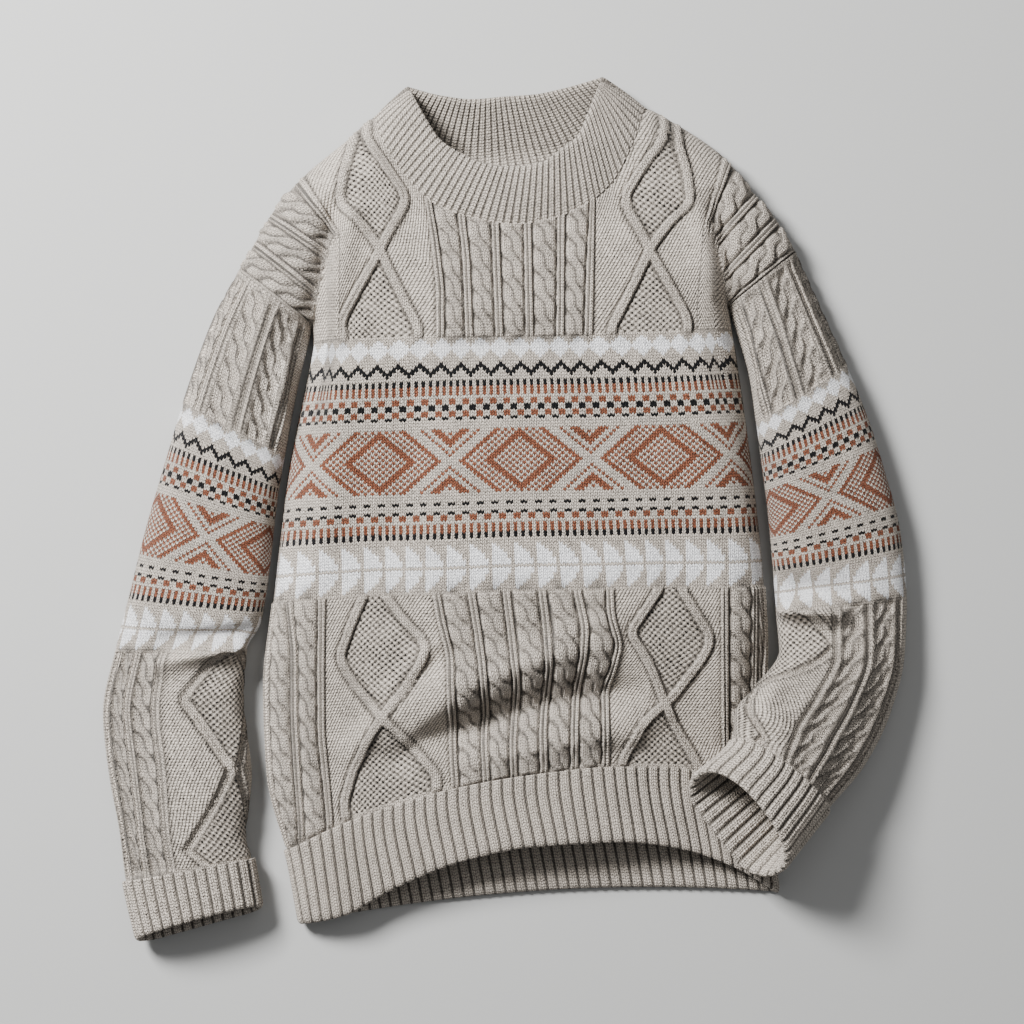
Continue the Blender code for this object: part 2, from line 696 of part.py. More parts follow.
def build_hem(material):
    """The front and back hem, sewn together at the sides."""
    for name, face, flip in (("hem_front", front_face, 1), ("hem_back", back_face, -1)):
        path = face(np.linspace(0, LAST_WALE, 200), np.full(200, 0.5))
        places, raised = rib_places(path, HEM_RIBS)
        rib_wales = np.concatenate([[0.0], places * LAST_WALE, [LAST_WALE]])
        raised = np.concatenate([[0.0], raised, [0.0]])
        rows = hem_rows(face, flip, rib_wales, raised, shows_inside=flip < 0)
        for _, points in rows:
            if flip > 0:
                points[:, 2] = np.maximum(points[:, 2], SEAM_HEIGHT + SEAM_GAP / 2)
            else:
                points[:, 2] = np.clip(points[:, 2], 0, SEAM_HEIGHT - SEAM_GAP / 2)
        band_solid(name, material, rows, ring=False)


# ---------------------------------------------------------------- sleeves and cuffs

SLEEVE_BAND_HEAD, SLEEVE_BAND_FOOT = 2.1, 5.95
SLEEVE_END = 10.14        # behind the cuff's turned edge
SLEEVE_CABLE_HALF = 0.0186
SLEEVE_LATTICE = (
    # station, half spread of the two raised bands
    (6.0, 0.0),
    (7.0, 0.075),
    (8.0, 0.0),
    (9.0, 0.075),
    (9.9, 0.01),
)


def sleeve_wales():
    """The sleeve's strings: (kind and place above the band, kind and place below it)."""
    wales = [("plain", place, "plain", place) for place in (0.0, 0.08, 0.16, 0.22)]
    for high, low in ((0.322, 0.300), (0.450, 0.405)):
        above = cable_wales(high, SLEEVE_CABLE_HALF)
        below = cable_wales(low, SLEEVE_CABLE_HALF)
        above += rib_pair_wales(high + 0.064, 0.008)
        below += rib_pair_wales(low + 0.051, 0.008)
        wales += [(*up, *down) for up, down in zip(above, below)]
    above = cable_wales(0.577, SLEEVE_CABLE_HALF) + rib_pair_wales(0.641, 0.008)
    below = [(side, strand) for side in ("lattice left", "lattice right") for strand in (-1, 0, 1)]
    below.append(("plain", 0.71))
    wales += [(*up, *down) for up, down in zip(above, below)]
    wales += [("plain", 0.7, "plain", 0.735), ("plain", 0.745, "plain", 0.76)]
    return wales + [("plain", place, "plain", place) for place in (0.81, 0.89)]


def sleeve_string(table, wale, flip, string):
    """One string of a sleeve's outer points, from armhole to cuff."""
    high_kind, high_place, low_kind, low_place = string
    upper, lower = [0.0], []
    if high_kind in ("left", "middle", "right"):
        upper = np.concatenate([[0.0], np.linspace(0.12, SLEEVE_BAND_HEAD - 0.06, 11)])
    else:
        upper = np.array([0.0, 0.12, 0.35, 0.7, 1.1, 1.6, SLEEVE_BAND_HEAD - 0.06])
    if low_kind in ("left", "middle", "right"):
        lower = np.linspace(SLEEVE_BAND_FOOT + 0.06, 9.85, 19)
    else:
        lower = np.array([SLEEVE_BAND_FOOT + 0.06, 6.5, 7.0, 7.5, 8.0, 8.5, 9.0, 9.5, 9.85])
    middle = np.array([SLEEVE_BAND_HEAD, 3.0, 4.1, 5.0, SLEEVE_BAND_FOOT])
    stations = np.concatenate([upper, middle, lower, [9.95, SLEEVE_END]])
    is_low = stations > 4
    places = np.where(is_low, low_place, high_place).astype(float)
    if "lattice" in low_kind:
        side = -1 if low_kind.endswith("left") else 1
        knots = np.array(SLEEVE_LATTICE)
        spread = np.interp(stations, knots[:, 0], knots[:, 1]) + 0.012
        places = np.where(is_low, 0.61 + side * spread + 0.009 * low_place, high_place)
    morph = np.clip((stations - 2.3) / 3.4, 0, 1)
    in_band = (stations > SLEEVE_BAND_HEAD) & (stations < SLEEVE_BAND_FOOT)
    low_end = places[np.argmax(stations >= SLEEVE_BAND_FOOT)]
    places = np.where(in_band, high_place + (low_end - high_place) * morph, places)
    lift = np.zeros(len(stations))
    for part, kind, start in ((~is_low, high_kind, 1), (is_low, low_kind, np.argmax(stations > 6.0))):
        order = np.arange(len(stations)) - start
        if kind in ("left", "middle", "right"):
            crossing = (order + (kind == "middle")) % 2 == 0
            lift[part] = np.where(crossing, CABLE_LIFT, CABLE_DIP)[part]
        elif kind == "rib":
            lift[part] = RIB_PAIR_LIFT
        elif kind == "gutter":
            lift[part] = GUTTER
        elif "lattice" in kind and low_place == 0:
            lift[part] = LATTICE_LIFT
    shows = (stations > 0.1) & (stations < SLEEVE_BAND_HEAD - 0.03)
    shows |= (stations > SLEEVE_BAND_FOOT + 0.03) & (stations < 9.9)
    face = sleeve_face(table, wale)
    return (places[0], places[-1]), stations, lifted(face, places, stations, lift * shows, flip)


def sleeve_face(table, wale):
    def face(around, station):
        return sleeve_surface(table, wale, around, np.clip(station, ARMHOLE, CUFF_FOLD))
    return face


SLEEVES = (
    # name, sections, wale at its armhole, side of its normal
    ("left", SLEEVE_LEFT, 0, -1),
    ("right", SLEEVE_RIGHT, LAST_WALE, 1),
)
INNER_AROUND = (0.0, 0.1, 0.17, 0.21, 0.25, 0.29, 0.36, 0.45, 0.55, 0.64, 0.71, 0.75, 0.79, 0.83, 0.9)
INNER_STATIONS = np.array([0.0, 0.3, 0.6, 1.1, 2.0, 3.0, 4.1, 5.0, 5.5, 6.0, 6.4, 6.8, 7.2, 7.7,
                           8.3, 9.0, 9.6, SLEEVE_END])


def build_sleeves(material):
    for side, table, wale, flip in SLEEVES:
        face = sleeve_face(table, wale)
        place, down = armhole_plane(wale)
        outer = [sleeve_string(table, wale, flip, string) for string in sleeve_wales()]
        inner = [((around, around), INNER_STATIONS,
                  lifted(face, around, INNER_STATIONS, -PANEL_WALL + 0 * INNER_STATIONS, flip))
                 for around in INNER_AROUND]
        for strings in (outer, inner):
            for _, stations, points in strings:
                points[0] = onto_armhole(points[:1], wale, SEAM_GAP / 2)[0]
                short = np.minimum((points - place) @ down - SEAM_GAP / 2, 0)
                points -= np.outer(np.where(stations < 1, short, 0), down)
                points[:, 2] = np.maximum(points[:, 2], 0)
        panel_solid("sleeve_" + side, material, outer, inner, tube=True)


CUFF_RIBS = 28
PLAIN_CUFF = np.array([0.0, 0.04, 0.08, 0.12, 0.16, 0.19, 0.22, 0.25, 0.275, 0.3, 0.34, 0.38, 0.42,
                       0.46, 0.5, 0.54, 0.58, 0.62, 0.66, 0.7, 0.725, 0.75, 0.775, 0.8, 0.82, 0.86, 0.9, 0.95])


def build_cuffs(material):
    for side, table, wale, flip in SLEEVES:
        face = sleeve_face(table, wale)
        path = face(np.linspace(0, 1, 200), np.full(200, 10.6))
        places, raised = rib_places(path, CUFF_RIBS)

        def row(station, lift, around, bumps=0.0):
            points = lifted(face, around, station + 0 * around, lift + bumps + 0 * around, flip)
            points[:, 2] = np.maximum(points[:, 2], 0)
            return around, points

        outside = RIB_OVER - RIB_DEPTH
        ribs = raised * RIB_DEPTH
        rows = [
            row(10.9, outside, places, ribs),
            row(10.5, outside, places, ribs),
            row(10.03, outside, places, ribs),
            row(9.985, RIB_UNDER + LIP_EDGE, places),
            row(10.02, RIB_UNDER, PLAIN_CUFF),
            row(SLEEVE_END + 0.03, RIB_UNDER, PLAIN_CUFF),
            row(SLEEVE_END + 0.03, -RIB_WALL, PLAIN_CUFF),
        ]
        if side == "right":
            rows += [row(station, -RIB_WALL, places, -ribs * 0.6) for station in (10.5, 10.9)]
        else:
            rows += [row(station, -RIB_WALL, PLAIN_CUFF) for station in (10.5, 10.9)]
        rows.append(row(11.0, 0.4, places))
        band_solid("cuff_" + side, material, rows, ring=True)


# ---------------------------------------------------------------- collar

FRONT_NECK_RIBS, BACK_NECK_RIBS = 55, 42
COLLAR_GAP = 1.8          # the collar stands this far inside the neckline
COLLAR_PROUD = 1.2        # and this far proud of the front


def collar_surface(around, up):
    """The collar's outer face: around 0 to 1 over the front, 1 to 2 back again behind it."""
    around, up = np.broadcast_arrays(np.asarray(around, float), np.asarray(up, float))
    turn = np.pi * around
    part = (1 - np.cos(turn)) / 2
    bulge = np.abs(np.sin(turn))
    front = np.sin(turn) >= 0
    wale = NECK_LEFT + (NECK_RIGHT - NECK_LEFT) * part
    seam_front = front_face(wale, np.full(len(wale), float(TOP)))
    drop = (SEAM_HEIGHT - COLLAR_PROUD - 0.1) * np.minimum(bulge * 2.2, 1) ** 0.8
    seam_back = np.column_stack([back_neck(part), SEAM_HEIGHT - drop])
    rim_front = glide(RIM_FRONT, part * (len(RIM_FRONT) - 1))
    rim_back = glide(RIM_BACK, part * (len(RIM_BACK) - 1))
    rim_front = np.column_stack([rim_front, 22 + 28 * bulge ** 0.6])
    rim_back = np.column_stack([rim_back, 22 - 5 * bulge ** 0.6])
    seam = np.where(front[:, None], seam_front, seam_back)
    rim = np.where(front[:, None], rim_front, rim_back)
    seam[:, :2] += unit((rim - seam)[:, :2]) * (COLLAR_GAP * (2 - bulge))[:, None]
    return seam + (rim - seam) * up[:, None]


PLAIN_NECK_HALF = NECK_PLACES[:-1]


def collar_row(up, lift, around, bumps=0.0):
    """One row round the collar, thinner at its two folds.

    Along the seam it is set upright, as the panels' edges are.
    """
    fold = 0.45 + 0.55 * np.minimum(np.abs(np.sin(np.pi * around)) * 1.5, 1)
    lift = COLLAR_PROUD + (lift - COLLAR_PROUD) * fold
    points = lifted(collar_surface, around, up + 0 * around, lift + bumps, 1, 0.01)
    if up == 0:
        edge = collar_surface(around, 0 * around)
        onward = collar_surface(around + 0.01, 0 * around) - collar_surface(around - 0.01, 0 * around)
        flat = unit(np.column_stack([onward[:, 1], -onward[:, 0], 0 * around]))
        points -= flat * np.sum((points - edge) * flat, axis=1, keepdims=True)
    return around / 2, points


def build_collar(material):
    front_path = collar_surface(np.linspace(0, 1, 200), np.full(200, 0.5))
    front_places, front_raised = rib_places(front_path, FRONT_NECK_RIBS)
    back_path = collar_surface(np.linspace(1, 2, 200), np.full(200, 0.5))
    back_places, back_raised = rib_places(back_path, BACK_NECK_RIBS)
    plain = np.zeros(len(PLAIN_NECK_HALF))
    outer = np.concatenate([front_places, 1 + PLAIN_NECK_HALF])
    outer_ribs = np.concatenate([front_raised, plain]) * NECK_RIB_DEPTH
    inner = np.concatenate([PLAIN_NECK_HALF, 1 + back_places])
    inner_ribs = np.concatenate([plain, back_raised]) * NECK_RIB_DEPTH
    top, foot = COLLAR_PROUD, COLLAR_PROUD - COLLAR_WALL
    rows = [
        collar_row(0.0, top, outer, outer_ribs),
        collar_row(0.5, top + 1.5, outer, outer_ribs),
        collar_row(0.95, top, outer, outer_ribs),
        collar_row(1.0, top - 2.0, outer, outer_ribs),
        collar_row(1.0, foot + 1.8, inner, -inner_ribs),
        collar_row(0.92, foot, inner, -inner_ribs),
        collar_row(0.0, foot, inner, -inner_ribs),
    ]
    for _, points in rows:
        points[:, 2] = np.maximum(points[:, 2], 0)
    band_solid("collar", material, rows, ring=True)


def build_all():
    knit = wool("oatmeal knit", OATMEAL)
    build_front(knit)
    build_back(knit)
    build_hem(knit)
    build_sleeves(knit)
    build_cuffs(knit)
    build_collar(knit)


build_all()
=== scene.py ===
"""Cable knit sweater laid flat on its back, softly filled, seen from straight above."""

import bpy
import numpy as np
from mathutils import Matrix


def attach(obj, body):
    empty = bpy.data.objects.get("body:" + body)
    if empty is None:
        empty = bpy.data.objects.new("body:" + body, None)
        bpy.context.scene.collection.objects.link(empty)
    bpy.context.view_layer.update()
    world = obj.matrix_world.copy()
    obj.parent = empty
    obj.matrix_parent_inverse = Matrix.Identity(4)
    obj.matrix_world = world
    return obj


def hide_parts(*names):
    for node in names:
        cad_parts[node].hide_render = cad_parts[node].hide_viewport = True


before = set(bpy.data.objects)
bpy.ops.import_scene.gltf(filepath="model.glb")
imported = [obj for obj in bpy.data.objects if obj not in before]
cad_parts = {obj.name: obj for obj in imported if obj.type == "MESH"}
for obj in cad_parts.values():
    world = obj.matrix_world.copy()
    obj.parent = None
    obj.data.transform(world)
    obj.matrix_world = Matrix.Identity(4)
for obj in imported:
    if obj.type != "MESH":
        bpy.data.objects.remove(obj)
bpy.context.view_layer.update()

# ---------------------------------------------------------------- floor, light and camera
# A pale matt tabletop under a soft light from the upper left, with a wide and weak fill, as in
# a plain studio. The camera hangs 2.2 m above the sweater and looks straight down.

bpy.ops.object.select_all(action="DESELECT")
bpy.ops.mesh.primitive_plane_add(size=6)
floor = bpy.context.object
floor.name = "floor"

tabletop = bpy.data.materials.new("pale tabletop")
tabletop.use_nodes = True
tabletop_shader = tabletop.node_tree.nodes["Principled BSDF"]
tabletop_shader.inputs["Base Color"].default_value = (0.43, 0.43, 0.42, 1)
tabletop_shader.inputs["Roughness"].default_value = 0.9
floor.data.materials.append(tabletop)

for light_name, light_place, light_size, light_power in (
    ("soft key", (-1.3, 1.15, 1.6), 0.7, 182.0),
    ("wide fill", (0.7, 0.9, 2.1), 2.0, 10.0),
):
    light_data = bpy.data.lights.new(light_name, "AREA")
    light_data.size = light_size
    light_data.energy = light_power
    light = bpy.data.objects.new(light_name, light_data)
    bpy.context.scene.collection.objects.link(light)
    light.location = light_place
    x, y, z = light_place
    tilt = float(np.arccos(z / np.linalg.norm(light_place)))
    light.rotation_euler = (0, tilt, float(np.arctan2(y, x)))

world = bpy.data.worlds.new("soft room")
world.use_nodes = True
background = world.node_tree.nodes["Background"]
background.inputs["Color"].default_value = (0.96, 0.975, 1.0, 1)
background.inputs["Strength"].default_value = 0.22
bpy.context.scene.world = world

camera_data = bpy.data.cameras.new("overhead camera")
camera_data.lens = 91.0
camera_data.sensor_width = 36.0
camera = bpy.data.objects.new("overhead camera", camera_data)
camera.location = (0, 0, 2.2)
bpy.context.scene.collection.objects.link(camera)
bpy.context.scene.camera = camera

# ---------------------------------------------------------------- front
# The front is one panel of heavy wool, knitted from the hem up: cables between pairs of ribs, a
# diamond lattice at each side of the middle, and a stranded band in four colours across the
# chest. Its folds are pressed in by hand as it is laid down.

MILLIMETRE = 0.001
SEAM_HEIGHT = 10.0        # side seams, above the table
SEAM_WIDTH = 0.4          # front and back lie together over this much
SIDE_ROUND = 48.0         # how far in from its side the front rounds over
LAST_WALE = 8             # guide wales run from 0, at the left side, to this one
HEM_TOP, BAND_FOOT, BAND_HEAD, CREASE, TOP = 1.15, 4, 6, 7, 8   # guide courses
NECK_LEFT, NECK_RIGHT = 1.85, 6.15                              # guide wales
STITCH_WIDTH, BAND_STITCH_WIDTH, ROW_HEIGHT = 2.93, 2.96, 2.53
MIDDLE_STITCH = 80        # the band's stitch at the middle of the front and of the back
BAND_ROWS = 83
PANEL_STITCHES = 40       # counts set aside for each panel between two rib pairs
CABLE_ROWS = 8.1          # rows from one cable crossing to the next
CABLE_SHIFT = 0.37        # how far each next cable of the front is ahead, in crossings

# Where the guide wales 0 to 8 cross the guide courses, seen from above, in millimetres
FRONT_ROWS = (
    # hem fold, hem seam, low belly, high belly, band foot, band middle, band head, crease
    ((-178, -348), (-141, -339), (-97, -315), (-38, -291), (22, -279),
     (90, -276), (137, -282), (185, -298), (225, -322)),
    ((-188, -294), (-149, -273), (-107, -256), (-47, -237), (13, -226),
     (82, -220), (127, -221), (176, -232), (216, -254)),
    ((-207, -221), (-156, -206), (-108, -193), (-47, -186), (14, -175),
     (78, -166), (128, -167), (180, -174), (216, -189)),
    ((-210, -148), (-157, -138), (-111, -131), (-50, -130), (16, -119),
     (84, -113), (130, -115), (180, -117), (216, -125)),
    ((-202, -75), (-157, -71), (-112, -68), (-63, -67), (9, -64),
     (82, -63), (131, -62), (179, -62), (213, -61)),
    ((-189, 33), (-152, 35), (-111, 37), (-61, 38), (6, 40),
     (73, 41), (122, 42), (169, 43), (202, 44)),
    ((-168, 141), (-145, 141), (-110, 142), (-59, 144), (2, 145),
     (65, 146), (115, 147), (156, 149), (186.5, 152)),
    ((-169, 156), (-145, 233), (-112, 230), (-59, 203), (2, 195),
     (63, 205), (115, 233), (161, 242), (183, 174)),
)
TOP_EDGE = (
    # wale, x, y: shoulder, neck and shoulder again
    (0.00, -232, 203), (0.33, -216, 230), (0.67, -202, 254), (1.00, -176, 284),
    (1.50, -141, 313), (1.85, -117, 333), (2.05, -107, 311), (2.40, -93, 288),
    (3.00, -62, 257), (3.50, -31, 246), (4.00, 2, 241), (4.50, 33, 246),
    (5.00, 63, 259), (5.60, 85, 280), (5.95, 101, 312), (6.15, 113, 341),
    (6.50, 142, 326), (7.00, 178, 301), (7.33, 203, 271), (7.67, 221, 250),
    (8.00, 240, 220),
)
CROWN = (
    # height at the left, middle and right of each guide course
    (26, 41, 23), (33, 43, 22), (38, 46, 26), (43, 48, 34), (46, 50, 43),
    (46, 50, 46), (46, 50, 46), (45, 49, 45), (41, 44, 41),
)
FOLDS = (
    # start, bend, end, height, half width
    ((-102, -207), (-45, -122), (95, -110), 10.4, 14),    # ridge across the belly
    ((-66, -206), (20, -142), (114, -152), -13.6, 14),    # hollow below it
    ((-35, -219), (40, -191), (107, -181), 6.4, 13),      # ridge above the hem
    ((-147, 268), (-156, 215), (-172, 152), -9.6, 9),     # left armhole crease
    ((-132, 262), (-138, 205), (-155, 140), 4.8, 10),     # and the fold beside it
    ((168, 272), (178, 215), (192, 155), -9.6, 9),        # right armhole crease
    ((152, 262), (162, 210), (174, 140), 4.8, 10),        # and the fold beside it
    ((-140, 120), (-150, 20), (-165, -60), 4, 18),        # left of the chest
    ((-75, 130), (-85, 40), (-95, -40), -4.8, 22),        # hollow beside it
    ((224, -100), (205, -160), (190, -215), -12.8, 22),   # pressed in under the forearm
    ((-112, -160), (-88, -130), (-52, -100), 4, 7),       # short pleat into the belly ridge
    ((-142, -212), (-88, -146), (-18, -126), 7.2, 12),    # the belly ridge's left shoulder
    ((-104, -212), (-68, -176), (6, -160), -8, 11),       # and the hollow's left end
    ((20, -128), (52, -84), (96, -96), 4, 11),            # crown of the belly ridge
    ((96, -196), (112, -176), (136, -164), 3.2, 9),       # pucker by the right lattice
    ((-60, 176), (-20, 164), (40, 172), 2.56, 12),        # soft roll under the collar
)


def glide(values, at):
    """Smooth curve through evenly numbered values, without overshoot."""
    values = np.asarray(values, float)
    at = np.asarray(at, float)
    rise = np.diff(values, axis=0)
    slope = np.zeros_like(values)
    both = rise[:-1] * rise[1:]
    total = rise[:-1] + rise[1:]
    total = np.where(np.abs(total) < 1e-9, 1.0, total)
    slope[1:-1] = np.where(both > 0, 2 * both / total, 0)
    slope[0] = rise[0]
    slope[-1] = rise[-1]
    low = np.clip(np.floor(at).astype(int), 0, len(values) - 2)
    f = at - low
    if values.ndim == 3:
        pick = np.arange(len(at))
        start, end = values[low, pick], values[low + 1, pick]
        leave, arrive = slope[low, pick], slope[low + 1, pick]
    else:
        start, end = values[low], values[low + 1]
        leave, arrive = slope[low], slope[low + 1]
    f = f.reshape(f.shape + (1,) * (start.ndim - 1))
    return ((1 + 2 * f) * (1 - f) ** 2 * start + f * (1 - f) ** 2 * leave
            + f * f * (3 - 2 * f) * end + f * f * (f - 1) * arrive)


def unit(vectors):
    """The vectors at length 1."""
    length = np.linalg.norm(vectors, axis=-1, keepdims=True)
    return vectors / np.maximum(length, 1e-9)


def ease(value, low, high):
    """A smooth step, 0 up to low and 1 from high on."""
    share = np.clip((value - low) / (high - low), 0, 1)
    return share * share * (3 - 2 * share)


def top_edge(wale):
    """The front's top edge, shoulders and neck, at a wale."""
    table = np.array(TOP_EDGE, float)
    place = np.interp(wale, table[:, 0], np.arange(len(table)))
    return glide(table[:, 1:], place)


def front_plan(wale, course):
    """Where a wale and a course of the front cross, seen from above."""
    guides = np.stack([glide(row, wale) for row in FRONT_ROWS])
    low = glide(guides, np.minimum(course, CREASE))
    high = np.clip(course - CREASE, 0, 1)[:, None]
    return low + high * (top_edge(wale) - guides[-1])


def bent_line(start, bend, end):
    """Points along a curve from start to end that leans towards bend."""
    t = np.linspace(0, 1, 13)[:, None]
    return (1 - t) ** 2 * np.array(start) + 2 * t * (1 - t) * np.array(bend) + t * t * np.array(end)


def reach(line, points):
    """Distance from each point to a line, and how far along it the nearest place is."""
    best = np.full(len(points), 1e9)
    along = np.zeros(len(points))
    steps = len(line) - 1
    for k in range(steps):
        run = line[k + 1] - line[k]
        t = np.clip(((points - line[k]) @ run) / (run @ run), 0, 1)
        gap = np.linalg.norm(points - line[k] - t[:, None] * run, axis=1)
        nearer = gap < best
        best = np.where(nearer, gap, best)
        along = np.where(nearer, (k + t) / steps, along)
    return best, along


def side_outline(wale, neck):
    """One side of the body: up the side seam to the armhole, then along the shoulder."""
    courses = np.linspace(0, CREASE, 36)
    side = front_plan(np.full_like(courses, wale), courses)
    shoulder = top_edge(np.linspace(wale, neck, 25))
    return side, shoulder


OUTLINES = (*side_outline(0, NECK_LEFT), *side_outline(LAST_WALE, NECK_RIGHT))


def inset_from_sides(plan):
    """How far in from the side seams and shoulders, and nothing within the seams' own width."""
    inset = np.min([reach(line, plan)[0] for line in OUTLINES], axis=0)
    return np.maximum(inset - SEAM_WIDTH, 0)


def fold_along(line, points, lift, width):
    """One fold's height at each point: highest along its line, and nothing at the line's ends."""
    gap, along = reach(bent_line(*line), points)
    return lift * np.exp(-(gap / width) ** 2) * (1 - np.abs(2 * along - 1) ** 4)


def fold_height(plan, course):
    """The folds' height at each place. They die out where the turned hem lies over them."""
    height = sum(fold_along(line, plan, lift, width) for *line, lift, width in FOLDS)
    return height * np.clip((course - HEM_TOP) / 0.4, 0, 1)


def front_surface(wale, course):
    """The front's face without its raised stitches."""
    plan = front_plan(wale, course)
    inset = np.minimum(inset_from_sides(plan) / SIDE_ROUND, 1)
    thirds = glide(np.array(CROWN, float), course)
    across = np.clip((wale - 1.5) / 2.5, 0, 2)
    crown = glide(thirds.T[:, :, None], across)[:, 0]
    round_off = np.sqrt(1 - (1 - inset) ** 2)
    height = SEAM_HEIGHT + (crown + fold_height(plan, course) - SEAM_HEIGHT) * round_off
    return np.column_stack([plan, height])


# Cables, pairs of smooth ribs and diamond lattices stand up from the cloth
STRAND = 0.54             # a cable strand's half width and its swing, as shares of the cable's half
CROSSING, STRAND_REACH = 0.42, 0.93   # a strand crosses over, and shows, this many turns each way


def ridge(across, half):
    """A round ridge, 1 at its top and 0 from half its width out."""
    return np.sqrt(np.clip(1 - (across / half) ** 2, 0, 1))


def rope(across, turn, half):
    """A two-strand cable: each strand comes from the upper left over to the lower right.

    Gives its height and how far across its uppermost strand each place lies."""
    first = np.floor(turn)
    height = np.zeros(np.broadcast(across, turn).shape)
    strand = np.zeros(height.shape)
    for k in (-1, 0, 1, 2):
        ahead = turn - (first + k)
        centre = STRAND * half * np.sin(np.pi / 2 * np.clip(ahead / CROSSING, -1, 1))
        off = (across - centre) / half
        lobe = np.cos(np.pi / 2 * np.clip(np.abs(ahead) / STRAND_REACH, 0, 1)) ** 0.5
        parting = 1 - 0.2 * np.exp(-(off / 0.09) ** 2)
        this = ridge(off, STRAND) ** 0.8 * lobe * parting
        strand = np.where(this > height, off / STRAND, strand)
        height = np.maximum(height, this)
    return height, strand


# Rib pairs below and above the colour band, as lines of (x, y) from top to bottom
PAIRS_BELOW = (
    ((-187, -73), (-182, -116), (-182, -171), (-180, -212), (-177, -261)),
    ((-158, -72), (-159, -130), (-159, -185), (-155, -227), (-152, -260)),
    ((-63, -64), (-58, -92), (-51, -120), (-50, -159), (-49, -201), (-47, -227)),
    ((-34, -64), (-28, -101), (-24, -131), (-22, -166), (-23, -192), (-21, -224)),
    ((-5, -64), (0, -105), (4, -140), (3, -166), (1, -192), (2, -222)),
    ((25, -64), (29, -96), (31, -127), (28, -157), (26, -183), (27, -218)),
    ((54, -64), (61, -96), (59, -120), (54, -148), (52, -183), (52, -215)),
    ((81, -64), (82, -87), (89, -110), (84, -131), (78, -148), (78, -212)),
    ((177, -64), (179, -166), (180, -215)),
    ((203, -64), (204, -157), (204, -215)),
)
PAIRS_ABOVE = (
    ((-70, 262), (-64, 228), (-59, 186), (-59, 142)), ((-42, 246), (-38, 214), (-35, 142)),
    ((-14, 242), (-10, 142)), ((13, 242), (15, 142)), ((41, 247), (40, 142)),
    ((67, 256), (65, 205), (63, 142)),
)
# The lattices' two raised bands below and above the colour band, left and right of the middle
LATTICES_BELOW = (
    (((-122, -66), (-134, -94), (-144, -122), (-133, -142), (-109, -171), (-90, -189),
      (-65, -217), (-61, -224), (-65, -236)),
     ((-108, -66), (-92, -88), (-72, -109), (-73, -120), (-87, -144), (-105, -167),
      (-120, -189), (-133, -217), (-141, -245), (-137, -262))),
    (((124, -62), (112, -80), (98, -101), (107, -113), (117, -131), (126, -155),
      (137, -180), (154, -208), (160, -222)),
     ((140, -62), (151, -80), (167, -106), (160, -122), (144, -143), (133, -157),
      (121, -166), (109, -178), (93, -206), (90, -222))),
)
LATTICES_ABOVE = (
    (((-134, 308), (-141, 283), (-144, 257), (-128, 244), (-111, 221), (-99, 195),
      (-87, 171), (-77, 152), (-79, 139)),
     ((-122, 313), (-105, 289), (-88, 263), (-91, 252), (-101, 236), (-112, 214),
      (-125, 191), (-142, 160), (-141, 148))),
    (((127, 313), (110, 289), (94, 263), (96, 252), (106, 236), (117, 214), (130, 191),
      (147, 160), (146, 148)),
     ((139, 308), (146, 283), (149, 257), (133, 244), (116, 221), (104, 195), (92, 171),
      (82, 152), (84, 139))),
)
# Heights and distances of the raised stitches, in millimetres
GROUND, LATTICE_GROUND, LATTICE_GUTTER = -0.5, -0.1, -0.8   # the cloth that lies lower
RIB_RISE, BAND_RISE = 2.7, 2.9        # a pair's ribs and a lattice's bands, above that cloth
BED_RISE, ROPE_RISE = 0.9, 3.7        # a cable's bed and its strands
PAIR_RIB, RIB_HALF = 1.55, 1.6        # a pair's ribs: from the pair's middle, and half width
BAND_RIB, BAND_HALF = 1.75, 1.9       # a lattice band's two ribs, likewise
GUTTER_START, GUTTER_EDGE = 3.1, 4.6  # the gutter beside a pair, before a cable or plain panel
BAND_GUTTER = (3.4, 5.4)              # the gutter beside a lattice band
SEED_EDGE = (4.2, 5.4)                # where seed stitch begins inside the two bands


def line_at(line, y):
    """How far across a line lies at each height, its corners rounded."""
    knots = np.array(line[::-1], float)
    return sum(np.interp(y + step, knots[:, 1], knots[:, 0]) for step in (-6, -3, 0, 3, 6)) / 5


def pair_wales(course):
    """The wales where rib pairs run at one course, from the left side to the right."""
    samples = np.linspace(0, LAST_WALE, 161)
    plan = front_plan(samples, np.full(161, course))

    def crossing(line):
        return np.interp(0, plan[:, 0] - line_at(line, plan[:, 1]), samples)

    below = [0, 0.05] + [crossing(line) for line in PAIRS_BELOW] + [7.95, LAST_WALE]
    middle = [crossing(line) for line in PAIRS_ABOVE]
    above = [0, 0.278, 0.611, 0.944] + middle + [7.056, 7.389, 7.722, LAST_WALE]
    upper = np.clip((course - BAND_FOOT) / (BAND_HEAD - BAND_FOOT), 0, 1)
    return np.array(below) * (1 - upper) + np.array(above) * upper


LATTICE_WIDTH = 100
PANEL_WIDTHS = [20, 24, 24, LATTICE_WIDTH] + [26] * 5 + [LATTICE_WIDTH, 24, 24, 20]
SIDE_PANEL = 1.06         # wales from each side that are plain from the band to the armhole


def panel_columns(width):
    """Where the mesh columns stand between two rib pairs, as shares of the way across."""
    close = np.array([0, 0.75, 1.5, 2.25, 3.0, 3.7]) / width
    count = 64 if width == LATTICE_WIDTH else 14
    between = np.linspace(GUTTER_EDGE / width, 1 - GUTTER_EDGE / width, count)
    return np.concatenate([close, between, 1 - close[:0:-1]])


def surrounding_mean(values, rows, columns):
    """Mean of the values in a small window round each place."""
    padded = np.pad(values, ((rows, rows), (columns, columns)), mode="edge")
    total = np.zeros(values.shape)
    for down in range(2 * rows + 1):
        for right in range(2 * columns + 1):
            total += padded[down:down + values.shape[0], right:right + values.shape[1]]
    return total / ((2 * rows + 1) * (2 * columns + 1))


